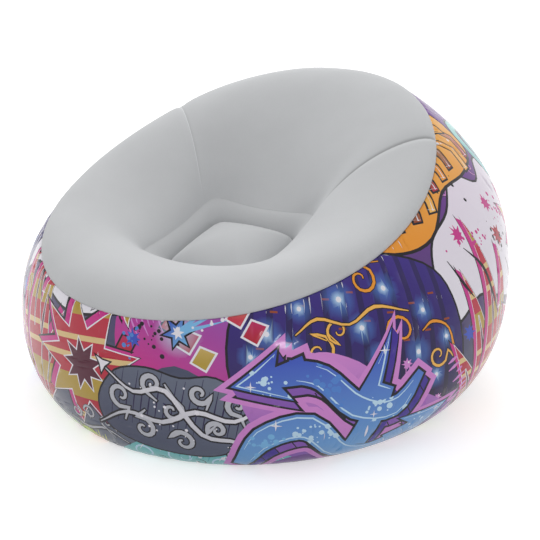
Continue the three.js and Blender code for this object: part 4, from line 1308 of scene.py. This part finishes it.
class UnrolledWall:
    """The side wall laid flat: x is the angle times the print's radius, y the height along the film."""

    def __init__(self):
        self.angles, self.lengths, self.shares = wall_table()

    def length(self, angle):
        return np.interp(angle, self.angles, self.lengths)

    def share(self, angle, y):
        column = (angle - self.angles[0]) / (self.angles[1] - self.angles[0])
        row = y / self.length(angle) * (self.shares.shape[1] - 1)
        return blended(self.shares, column, np.clip(row, 0, self.shares.shape[1] - 1))

    def height_along(self, angle, height):
        """How far along the film a height above the floor is."""
        y = np.linspace(0, self.length(angle), TABLE_STEPS)
        shares = self.share(np.full(TABLE_STEPS, angle), y)
        return np.interp(height, wall_at(angle, shares)[:, 2], y)

    def place(self, flat):
        """Points of the wall in space, pulled in at its seam and foot and lifted at the lap."""
        angle, y = flat[:, 0] / PRINT_RADIUS, np.maximum(flat[:, 1], 0)
        share = self.share(angle, y)
        points = wall_at(angle, share)
        seam_angle = np.where(angle < BACK_SEAM - math.pi, angle + 2 * math.pi, angle)
        seat_angle = matching_seat_angle(seam_angle)
        to_seam = np.maximum(self.length(angle) - y, 0)
        points = pulled_in(points, seam_outwards(seam_angle, seat_angle), to_seam, seam_angle, RIM_WELD)
        radial = plan_point(angle, 1, 0) - plan_point(angle, 0, 0)
        points = settled(pulled_in(points, radial, y, angle, FOOT_WELD))
        ramp = np.clip((angle - math.pi) * PRINT_RADIUS / LAP_RAMP + 1, 0, 1)
        lift = (bpy.context.scene.chair_film.thickness + LAP_LIFT) * ramp * ramp * (3 - 2 * ramp)
        points = points + normal_of(wall_at, angle, np.clip(share, 0.01, 0.99)) * lift[:, None]
        points[:, 2] = np.maximum(points[:, 2], 0)
        return points

    def lattice(self):
        """Even points over the wall, closer to each other beside the seam and the foot."""
        left, right = np.array(WALL_TURN) * PRINT_RADIUS
        columns = round((right - left) / WALL_CELL)
        x = np.linspace(left, right, columns + 1)
        rows = np.linspace(0, 1, WALL_ROWS + 1)[:, None]
        low, high = FOOT_ROWS[-1] + WALL_CELL / 2, SEAM_ROWS[-1] + WALL_CELL / 2
        y = low + (self.length(x / PRINT_RADIUS) - low - high) * rows
        points = [np.stack((np.broadcast_to(x, y.shape), y), -1).reshape(-1, 2)]
        x = np.linspace(left, right, EDGE_COLUMNS + 1)
        length = self.length(x / PRINT_RADIUS)
        points += [np.stack((x, length - row), -1) for row in SEAM_ROWS]
        points += [np.stack((x[::2], row + 0 * x[::2]), -1) for row in FOOT_ROWS]
        return np.concatenate(points)

    def outline(self):
        x = np.linspace(*(np.array(WALL_TURN) * PRINT_RADIUS), EDGE_COLUMNS + 1)
        foot = np.stack((x[::2], 0 * x[::2]), -1)
        seam = np.stack((x, self.length(x / PRINT_RADIUS)), -1)
        return np.concatenate((foot, seam[::-1]))

    def hole(self):
        y = float(self.height_along(VALVE_TURN, VALVE_HEIGHT))
        return disc(VALVE_TURN * PRINT_RADIUS, y, WALL_HOLE_RADIUS, WALL_HOLE_SIDES)

    def film(self):
        """Points of the border, the hole and the lattice, and the edges of the first two."""
        border, hole = self.outline(), self.hole()
        around_border, around_hole = np.arange(len(border)), len(border) + np.arange(len(hole))
        edges = [np.stack((index, np.roll(index, -1)), -1) for index in (around_border, around_hole)]
        return np.concatenate((border, hole, self.lattice())), np.concatenate(edges)

    def depth(self, flat):
        """How far points are inside the wall's edges."""
        x, y = flat.T
        left, right = np.array(WALL_TURN) * PRINT_RADIUS
        return np.minimum.reduce([y, self.length(x / PRINT_RADIUS) - y, x - left, right - x])

    def kept_cuts(self, cuts):
        """Straight cuts in short pieces that stop inside the wall's edges and stay clear of the hole."""
        start, step = cuts[:, 0], cuts[:, 1] - cuts[:, 0]
        counts = np.maximum(np.ceil(np.linalg.norm(step, axis=1) / CUT_LENGTH), 1).astype(int)
        part = np.concatenate([np.arange(count) / count for count in counts])[:, None]
        start, step = np.repeat(start, counts, 0), np.repeat(step, counts, 0)
        first = start + step * part
        last = start + step * (part + 1 / np.repeat(counts, counts)[:, None])
        first_inside, last_inside = (self.depth(point) > CUT_GAP for point in (first, last))
        inner = np.where(first_inside[:, None], first, last)
        outer = np.where(first_inside[:, None], last, first)
        low, high = np.zeros(len(inner)), np.ones(len(inner))
        for _ in range(CLIP_HALVINGS):
            middle = (low + high) / 2
            deep = self.depth(inner + (outer - inner) * middle[:, None]) > CUT_GAP
            low, high = np.where(deep, middle, low), np.where(deep, high, middle)
        reach = np.where(first_inside & last_inside, 1, low)[:, None]
        step = (outer - inner) * reach
        to_hole = self.hole().mean(0) - inner
        along = np.clip((to_hole * step).sum(1) / np.maximum((step * step).sum(1), TINY**2), 0, 1)[:, None]
        clear = np.linalg.norm(to_hole - step * along, axis=1) > WALL_HOLE_RADIUS + CUT_GAP
        kept = (first_inside | last_inside) & clear & (np.linalg.norm(step, axis=1) > 10 * TINY)
        return np.stack((inner, inner + step), 1)[kept]


def matching_seat_angle(seam_angle):
    """The seat weld's angle on the section that starts at an angle of the rim seam."""
    front_share = (math.pi - BACK_SEAT) / (math.pi - BACK_SEAM)
    at_back = math.pi + (seam_angle - math.pi) * BACK_SEAT / BACK_SEAM
    return np.where(seam_angle > math.pi - BACK_SEAM, at_back, seam_angle * front_share)


def within(points, outline):
    """Indices of the points that an outline winds round. The points run from left to right."""
    (left, low), (right, high) = outline.min(0), outline.max(0)
    first, last = np.searchsorted(points[:, 0], (left, right))
    near = first + np.flatnonzero((points[first:last, 1] > low) & (points[first:last, 1] < high))
    x, y = points[near].T
    winding = np.zeros(len(near), int)
    for (ax, ay), (bx, by) in zip(outline, np.roll(outline, -1, 0)):
        left = (bx - ax) * (y - ay) > (x - ax) * (by - ay)
        winding += (ay <= y) & (by > y) & left
        winding -= (by <= y) & (ay > y) & ~left
    return near[winding != 0]


def share_along(axis, points):
    """How far points are along a straight axis, or from the middle of a round one."""
    if axis is None:
        return np.zeros(points.shape[:-1])
    if len(axis) == 3:
        return np.clip(np.hypot(points[..., 0] - axis[0], points[..., 1] - axis[1]) / axis[2], 0, 1)
    start, step = np.array(axis[:2]), np.array(axis[2:]) - axis[:2]
    return np.clip((points - start) @ step / (step @ step), 0, 1)


def copies_of(layers, repeats, left, right):
    """Each layer with how far each of its copies on the wall is moved."""
    tile = 2 * math.pi * PRINT_RADIUS / repeats
    for layer in layers:
        for k in range(-repeats, repeats + 1):
            shift = PRINT_START * PRINT_RADIUS + k * tile
            if layer.outline[:, 0].max() + shift > left and layer.outline[:, 0].min() + shift < right:
                yield layer, np.array((shift, 0.0))


def shown_cuts(copies):
    """The outlines' points and edges, without the edges that a later shape hides."""
    copies = [(layer, layer.outline + shift) for layer, shift in copies if layer.cut]
    counts = [len(outline) for layer, outline in copies]
    points = np.concatenate([outline for layer, outline in copies])
    ranks = np.repeat(np.arange(len(copies)), counts)
    starts = np.repeat(np.cumsum(counts) - counts, counts)
    index = np.arange(len(points))
    following = starts + (index - starts + 1) % np.repeat(counts, counts)
    order = np.argsort(points[:, 0])
    ordered = points[order]
    hidden, inside = np.zeros(len(points), bool), np.zeros(len(points), bool)
    for rank, (layer, outline) in enumerate(copies):
        if layer.within is None and min(layer.cover) == 1:
            found = order[within(ordered, outline)]
            found = found[ranks[found] < rank]
            inside[found] = True
            hidden[found] |= inside[following[found]]
            inside[found] = False
    edges = np.stack((index, following), -1)[~hidden]
    used, edges = np.unique(edges, return_inverse=True)
    return points[used], edges.reshape(-1, 2)


def flat_triangles(wall, points, edges):
    """Triangles of the wall between the points, with each point's new index."""
    cut = delaunay_2d_cdt([Vector(point) for point in points.tolist()], edges.tolist(), [], 0, TINY, True)
    flat = np.array([tuple(vert) for vert in cut[0]])
    faces = np.array(cut[2])
    faces = faces[np.argsort(flat[faces, 0].sum(1))]
    centres = flat[faces].mean(1)
    keep = np.zeros(len(faces), bool)
    keep[within(centres, wall.outline())] = True
    keep[within(centres, wall.hole())] = False
    index = np.zeros(len(points), int)
    for new, originals in enumerate(cut[3]):
        index[originals] = new
    return flat, faces[keep], index


def rim_edges(faces):
    """Edges that only one triangle has, in that triangle's direction."""
    edges = np.concatenate((faces[:, (0, 1)], faces[:, (1, 2)], faces[:, (2, 0)]))
    code = edges.min(1) * (faces.max() + 1) + edges.max(1)
    first, count = np.unique(code, return_index=True, return_counts=True)[1:]
    return edges[first[count == 1]]


def filmed(wall, flat, faces, index, thickness):
    """The placed points and triangles of the cut front, a coarser back side, and the edge that joins them."""
    points, edges = wall.film()
    back_flat, back_faces, back_index = flat_triangles(wall, points, edges)
    back = wall.place(back_flat)
    first, second, third = back[back_faces.T]
    slopes = np.cross(second - first, third - first)
    normals = np.zeros_like(back)
    for corner in range(3):
        np.add.at(normals, back_faces[:, corner], slopes)
    back -= unit(normals) * thickness
    original = np.zeros(len(flat), int)
    original[index[: len(points)]] = np.arange(len(points))
    a, b = rim_edges(faces).T
    c, d = (len(flat) + back_index[original[end]] for end in (a, b))
    sides = np.concatenate((np.stack((b, a, c), -1), np.stack((b, c, d), -1)))
    faces = np.concatenate((faces, back_faces[:, ::-1] + len(flat), sides))
    used, faces = np.unique(faces, return_inverse=True)
    return np.concatenate((wall.place(flat), back))[used], faces.reshape(-1, 3)


def printed_faces(wall, layers, repeats):
    """Cuts the flat wall along every outline of the print and inks the triangles."""
    points, edges = wall.film()
    copies = list(copies_of(layers, repeats, points[:, 0].min(), points[:, 0].max()))
    shown, shown_edges = shown_cuts(copies)
    cuts = wall.kept_cuts(shown[shown_edges])
    edges = np.concatenate((edges, len(points) + np.arange(2 * len(cuts)).reshape(-1, 2)))
    flat, faces, index = flat_triangles(wall, np.concatenate((points, cuts.reshape(-1, 2))), edges)
    corners = flat[faces]
    centres = corners.mean(1)
    inks = np.tile(linear_ink("storm"), (len(faces), 3, 1))
    for layer, shift in copies:
        chosen = within(centres, layer.outline + shift)
        if layer.within is not None:
            chosen = chosen[within(centres[chosen], layer.within + shift)]
        share = share_along(layer.axis, corners[chosen] - shift)[..., None]
        cover = layer.cover[0] * (1 - share) + layer.cover[1] * share
        ink = layer.inks[0] * (1 - share) + layer.inks[1] * share
        inks[chosen] += (ink - inks[chosen]) * cover
    return flat, faces, index, inks


class ARMCHAIR_OT_side_wall(Operator):
    """Add the printed side wall, lapped at the rear and cut for the valve"""

    bl_idname = "armchair.side_wall"
    bl_label = "Printed side wall"

    def execute(self, context):
        wall = UnrolledWall()
        flat, faces, index, inks = printed_faces(wall, draw_print(), context.scene.chair_print.repeats)
        points, faces = filmed(wall, flat, faces, index, context.scene.chair_film.thickness)
        data = bpy.data.meshes.new("printed_wall")
        data.from_pydata(points.tolist(), [], faces.tolist())
        colours = np.ones((len(faces), 3, 4))
        colours[..., :3] = linear_ink("white")
        colours[: len(inks), :, :3] = inks
        attribute = data.color_attributes.new("ink", "FLOAT_COLOR", "CORNER")
        attribute.data.foreach_set("color", colours.ravel())
        material = print_material()
        piece = add_piece("printed_wall", data, material, "chair", "printed_side_wall")
        return {"FINISHED"}


# Base sheet and inner ties
BASE_COLUMNS, BASE_ROWS, BASE_ROW_POWER = 400, 40, 1.6
BASE_CREASE = 0.0012
BASE_CREASE_REACH = 0.012
TIE_COLUMNS, TIE_ROWS = 30, 40
TIE_FOOT = 0.0014
TIE_TOP_GAP = 0.0013
TIE_THICKNESS = 0.0004
TIE_WAIST_SHARE = 0.05
TIE_WAVE = 0.0006
OUTER_TIE_SHARE = 0.7
INNER_TIE_SHARE = 0.66


class ARMCHAIR_OT_base(Operator):
    """Add the flat base sheet inside the foot of the side wall"""

    bl_idname = "armchair.base"
    bl_label = "Base sheet"

    def execute(self, context):
        angle = np.linspace(math.pi, -math.pi, BASE_COLUMNS + 1)[:, None]
        share = np.linspace(0, 1, BASE_ROWS + 1)[None, :] ** BASE_ROW_POWER
        angle, share = np.broadcast_arrays(angle, share)
        radial = plan_point(angle, 1, 0) - plan_point(angle, 0, 0)
        foot = around(FOOT_REACH, angle)
        edge = pulled_in(plan_point(angle, foot, 0), radial, 0 * share, angle, FOOT_WELD)
        inwards = foot * share
        points = edge + (plan_point(angle, 0, 0) - edge) * share[..., None]
        rise = inwards / BASE_CREASE_REACH * np.exp(1 - inwards / BASE_CREASE_REACH)
        points[..., 2] = BASE_CREASE * rise * (PUCKER_MIDDLE - ripple(angle, FOOT_WELD.count))
        material = plain_material("base_vinyl", (0.16, 0.17, 0.18), 0.4, 6)
        mesh = sheet_mesh(points, closed=True)
        piece = add_piece("base_film", mesh, material, "chair", "base_sheet")
        thicken(piece, context.scene.chair_film.thickness)
        return {"FINISHED"}


def tie_points(middle, half_turn, weld):
    """A strip of film from a seat weld straight down to the base, a little narrower at its waist."""
    across = np.linspace(-1, 1, TIE_COLUMNS + 1)[:, None]
    down = np.linspace(0, 1, TIE_ROWS + 1)[None, :]
    across, down = np.broadcast_arrays(across, down)
    narrow = across * (1 - TIE_WAIST_SHARE * np.sin(math.pi * down))
    inset, front_inset, drop, lift = weld
    turn = middle + narrow * half_turn
    top = seat_ring(turn, *weld)
    inner = seat_ring(turn, inset + TIE_TOP_GAP, front_inset + TIE_TOP_GAP, drop, lift)
    wave = TIE_WAVE * np.sin(math.pi * down) * np.sin(9 * across + 4 * down)
    points = inner + unit((top - inner) * (1, 1, 0)) * wave[..., None]
    points[..., 2] = (top[..., 2] - TIE_TOP_GAP) * (1 - down) + TIE_FOOT * down
    return points


class ARMCHAIR_OT_ties(Operator):
    """Add the strips inside that hold the two seat welds down to the base"""

    bl_idname = "armchair.ties"
    bl_label = "Inner ties"

    def execute(self, context):
        material = plain_material("tie_vinyl", (0.62, 0.65, 0.67), 0.35, 12)
        rings = (("outer", OUTER_TIE_SHARE, OUTER_WELD), ("inner", INNER_TIE_SHARE, INNER_WELD))
        sides = (("front", 0), ("right", math.pi / 2), ("back", math.pi), ("left", -math.pi / 2))
        for kind, share, weld in rings:
            for side, middle in sides:
                points = tie_points(middle, math.atan(share), weld)
                node = f"{kind}_tie_{side}"
                name = f"{kind}_{side}_tie_film"
                piece = add_piece(name, sheet_mesh(points), material, "chair", node)
                thicken(piece, TIE_THICKNESS)
        return {"FINISHED"}


# Valve, in millimetres about its own axis, whose zero is at the wall
MM = 0.001
SPIN_STEPS = 72
FLANGE_RADIUS, FLANGE_BOTTOM, FLANGE_TOP, FLANGE_BLEND = 29, 0.3, 1.9, 4
FLANGE_RINGS = (27, 25, 23, 21, 19)
NECK_RADIUS, NECK_BORE, NECK_TOP, SLEEVE_RADIUS, SLEEVE_BOTTOM = 16.6, 14, 9.9, 15.3, -3.6
PLUG_BARREL, PLUG_RIM, PLUG_BOTTOM, PLUG_RIM_BOTTOM, PLUG_TOP = 13.7, 17.8, -1.2, 10.2, 12.8
PLUG_DISH_RADII, PLUG_DISH_SLOPE, PLUG_DISH_DEPTH = (9.6, 15.6), 0.4, 0.5
FILL_BORE, FLAP_POCKET, FLAP_SEAT = 4.8, 10.5, 2.8
FLAP_RADIUS, FLAP_TOP, FLAP_THICKNESS = 8.6, 2.5, 1
FLAP_KNOB_RADIUS, FLAP_KNOB_SLOPE, FLAP_KNOB_HEIGHT = 1.8, 0.4, 0.3
CAP_RADIUS, CAP_BOTTOM, CAP_TOP, CAP_TIP_RADIUS, CAP_NECK_RADIUS, CAP_TIP = 8, 13.1, 15.1, 3.9, 4.45, 8.6
CAP_RIM_WIDTH, CAP_DISH_DEPTH = 1.6, 0.4
STRAP_WIDTH, STRAP_THICKNESS, HINGE_DISTANCE, GRIP_END = 6, 1.5, 15.5, 12
HINGE_SIDES = 24
FLANGE_ROUND, STOPPER_ROUND, FLAP_ROUND, CAP_ROUND = 0.35, 0.3, 0.2, 0.15
SHARP_EDGE = math.radians(40)


def joint_named(name):
    return next(joint for joint in frame["joints"] if joint["name"] == name)


def valve_matrix():
    """Valve frame: X level along the wall, Y up it and Z out along the stopper's slide."""
    out = Vector(joint_named("plug_pull")["axis"])
    level = -Vector(joint_named("cap_swing")["axis"])
    up = out.cross(level)
    hinge_height = (CAP_BOTTOM + STRAP_THICKNESS / 2) * MM
    origin = Vector(joint_named("cap_swing")["pos_m"]) - up * HINGE_DISTANCE * MM - out * hinge_height
    return Matrix.Translation(origin) @ Matrix((level, up, out)).transposed().to_4x4()


def turned(profile, closed=True):
    """An outline of radius and height pairs turned about the axis."""
    mesh = bmesh.new()
    verts = [mesh.verts.new((radius * MM, 0, height * MM)) for radius, height in profile]
    ends = verts[1:] + verts[:1] if closed else verts[1:]
    edges = [mesh.edges.new(pair) for pair in zip(verts, ends)]
    bmesh.ops.spin(
        mesh, geom=verts + edges, axis=(0, 0, 1), cent=(0, 0, 0), angle=2 * math.pi, steps=SPIN_STEPS,
        use_merge=True,
    )
    bmesh.ops.remove_doubles(mesh, verts=mesh.verts, dist=TINY)
    bmesh.ops.recalc_face_normals(mesh, faces=mesh.faces)
    return mesh


def soften(mesh, width, segments=2):
    """Rounds the sharp edges of a moulded piece."""
    sharp = [edge for edge in mesh.edges if edge.is_manifold and edge.calc_face_angle() > SHARP_EDGE]
    bmesh.ops.bevel(
        mesh, geom=sharp, offset=width * MM, offset_type="OFFSET", affect="EDGES", segments=segments,
        profile=0.5, clamp_overlap=True, material=-1,
    )


def add_valve_piece(name, mesh, material, body, node):
    bmesh.ops.transform(mesh, matrix=valve_matrix(), verts=mesh.verts)
    add_piece(name, mesh, material, body, node)


def valve_material():
    if "valve_vinyl" in bpy.data.materials:
        return bpy.data.materials["valve_vinyl"]
    return plain_material("valve_vinyl", (0.72, 0.735, 0.745), 0.38, 60)


def bend_to_wall(mesh):
    """Lays the flange on the curve of the wall, and leaves the neck straight."""
    wall = UnrolledWall()
    y = wall.height_along(VALVE_TURN, VALVE_HEIGHT)
    inverse = valve_matrix().inverted()
    for vert in mesh.verts:
        radius = math.hypot(vert.co.x, vert.co.y)
        weight = min(max((radius - NECK_RADIUS * MM) / (FLANGE_BLEND * MM), 0), 1)
        angle = np.array([VALVE_TURN + vert.co.x / PRINT_RADIUS])
        share = wall.share(angle, np.array([y + vert.co.y]))
        film = inverse @ Vector(settled(wall_at(angle, share))[0])
        vert.co.z += weight * film.z


class ARMCHAIR_OT_valve_base(Operator):
    """Add the valve's flange and neck, welded to the side wall"""

    bl_idname = "armchair.valve_base"
    bl_label = "Valve base"

    def execute(self, context):
        profile = [
            (FLANGE_RADIUS, FLANGE_BOTTOM), (FLANGE_RADIUS, FLANGE_TOP),
            *[(radius, FLANGE_TOP) for radius in FLANGE_RINGS],
            (NECK_RADIUS, FLANGE_TOP), (NECK_RADIUS, NECK_TOP), (NECK_BORE, NECK_TOP),
            (NECK_BORE, SLEEVE_BOTTOM), (SLEEVE_RADIUS, SLEEVE_BOTTOM), (SLEEVE_RADIUS, FLANGE_BOTTOM),
            *[(radius, FLANGE_BOTTOM) for radius in reversed(FLANGE_RINGS)],
        ]
        mesh = turned(profile)
        soften(mesh, FLANGE_ROUND)
        bend_to_wall(mesh)
        material = valve_material()
        add_valve_piece("valve_flange_and_neck", mesh, material, "chair", "valve_base")
        return {"FINISHED"}


class ARMCHAIR_OT_stopper(Operator):
    """Add the stopper that plugs the neck, with its filling bore and check flap"""

    bl_idname = "armchair.stopper"
    bl_label = "Stopper and flap"

    def execute(self, context):
        dish_inside, dish_outside = PLUG_DISH_RADII
        dish_bottom = PLUG_TOP - PLUG_DISH_DEPTH
        profile = [
            (FILL_BORE, PLUG_TOP), (FILL_BORE, FLAP_SEAT), (FLAP_POCKET, FLAP_SEAT),
            (FLAP_POCKET, PLUG_BOTTOM), (PLUG_BARREL, PLUG_BOTTOM), (PLUG_BARREL, PLUG_RIM_BOTTOM),
            (PLUG_RIM, PLUG_RIM_BOTTOM), (PLUG_RIM, PLUG_TOP),
            (dish_outside, PLUG_TOP), (dish_outside - PLUG_DISH_SLOPE, dish_bottom),
            (dish_inside + PLUG_DISH_SLOPE, dish_bottom), (dish_inside, PLUG_TOP),
        ]
        mesh = turned(profile)
        soften(mesh, STOPPER_ROUND)
        add_valve_piece("stopper", mesh, valve_material(), "valve_plug", "valve_plug")
        flap_bottom = FLAP_TOP - FLAP_THICKNESS
        knob_bottom = flap_bottom - FLAP_KNOB_HEIGHT
        flap_profile = [
            (0, FLAP_TOP), (FLAP_RADIUS, FLAP_TOP), (FLAP_RADIUS, flap_bottom),
            (FLAP_KNOB_RADIUS + FLAP_KNOB_SLOPE, flap_bottom), (FLAP_KNOB_RADIUS, knob_bottom),
            (0, knob_bottom),
        ]
        flap = turned(flap_profile, closed=False)
        soften(flap, FLAP_ROUND)
        rubber = plain_material("flap_rubber", (0.035, 0.036, 0.038), 0.7, 80)
        add_valve_piece("flap", flap, rubber, "check_flap", "check_flap")
        return {"FINISHED"}


def slab(width, from_y, to_y, bottom, top):
    """A block across the valve's level axis."""
    mesh = bmesh.new()
    bmesh.ops.create_cube(mesh, size=1)
    size = Vector((width, to_y - from_y, top - bottom)) * MM
    middle = Vector((0, (from_y + to_y) / 2, (bottom + top) / 2)) * MM
    bmesh.ops.scale(mesh, vec=size, verts=mesh.verts)
    bmesh.ops.translate(mesh, vec=middle, verts=mesh.verts)
    return mesh


def joined(mesh, others):
    """One closed solid from several that overlap."""
    helpers = []
    for k, other in enumerate([mesh, *others]):
        helper = bpy.data.objects.new(f"helper_{k}", finished(f"helper_{k}", other))
        bpy.context.scene.collection.objects.link(helper)
        helpers.append(helper)
    for helper in helpers[1:]:
        union = helpers[0].modifiers.new("Join", "BOOLEAN")
        union.operation, union.solver, union.object = "UNION", "EXACT", helper
    result = bmesh.new()
    result.from_object(helpers[0], bpy.context.evaluated_depsgraph_get())
    for helper in helpers:
        bpy.data.meshes.remove(helper.data)
    return result


class ARMCHAIR_OT_filler_cap(Operator):
    """Add the small cap with its plug, hinge strap and grip tab"""

    bl_idname = "armchair.filler_cap"
    bl_label = "Filler cap"

    def execute(self, context):
        dish_radius, dish_bottom = CAP_RADIUS - CAP_RIM_WIDTH, CAP_TOP - CAP_DISH_DEPTH
        plug = [
            (0, CAP_TIP), (CAP_TIP_RADIUS, CAP_TIP), (CAP_NECK_RADIUS, CAP_BOTTOM), (CAP_RADIUS, CAP_BOTTOM),
            (CAP_RADIUS, CAP_TOP), (dish_radius, CAP_TOP), (dish_radius - CAP_DISH_DEPTH, dish_bottom),
            (0, dish_bottom),
        ]
        strap_top = CAP_BOTTOM + STRAP_THICKNESS
        strap = slab(STRAP_WIDTH, CAP_RADIUS / 2, HINGE_DISTANCE, CAP_BOTTOM, strap_top)
        tab = slab(STRAP_WIDTH, -GRIP_END, -CAP_RADIUS / 2, CAP_BOTTOM, strap_top)
        hinge = bmesh.new()
        hinge_radius = STRAP_THICKNESS / 2
        middle = Matrix.Translation(Vector((0, HINGE_DISTANCE, CAP_BOTTOM + hinge_radius)) * MM)
        bmesh.ops.create_cone(
            hinge, cap_ends=True, segments=HINGE_SIDES, radius1=hinge_radius * MM, radius2=hinge_radius * MM,
            depth=STRAP_WIDTH * MM, matrix=middle @ Matrix.Rotation(math.pi / 2, 4, "Y"),
        )
        mesh = joined(turned(plug, closed=False), [strap, tab, hinge])
        soften(mesh, CAP_ROUND, 1)
        add_valve_piece("cap_and_strap", mesh, valve_material(), "filler_cap", "filler_cap")
        return {"FINISHED"}


OPERATORS = (
    ARMCHAIR_OT_stage, ARMCHAIR_OT_side_wall, ARMCHAIR_OT_arms, ARMCHAIR_OT_back_rest, ARMCHAIR_OT_seat,
    ARMCHAIR_OT_base, ARMCHAIR_OT_ties, ARMCHAIR_OT_valve_base, ARMCHAIR_OT_stopper, ARMCHAIR_OT_filler_cap,
)
GROUPS = {
    "chair_film": FilmSizes, "chair_flock": FlockLook, "chair_print": PrintLook, "chair_stage": StageLook,
}


class ARMCHAIR_PT_sidebar(Panel):
    """The armchair's settings and its pieces"""

    bl_idname = "ARMCHAIR_PT_sidebar"
    bl_label = "Inflatable Armchair"
    bl_space_type = "VIEW_3D"
    bl_region_type = "UI"
    bl_category = "Armchair"

    def draw(self, context):
        for group, kind in GROUPS.items():
            box = self.layout.box()
            for name in kind.__annotations__:
                box.prop(getattr(context.scene, group), name)
        for operator in OPERATORS:
            self.layout.operator(operator.bl_idname)


CLASSES = (*GROUPS.values(), *OPERATORS, ARMCHAIR_PT_sidebar)


def register():
    for kind in CLASSES:
        bpy.utils.register_class(kind)
    for group, kind in GROUPS.items():
        setattr(bpy.types.Scene, group, PointerProperty(type=kind))


def unregister():
    for group in GROUPS:
        delattr(bpy.types.Scene, group)
    for kind in reversed(CLASSES):
        bpy.utils.unregister_class(kind)


def main():
    register()
    for operator in OPERATORS:
        getattr(bpy.ops.armchair, operator.bl_idname.split(".")[1])()


if __name__ == "__main__":
    main()
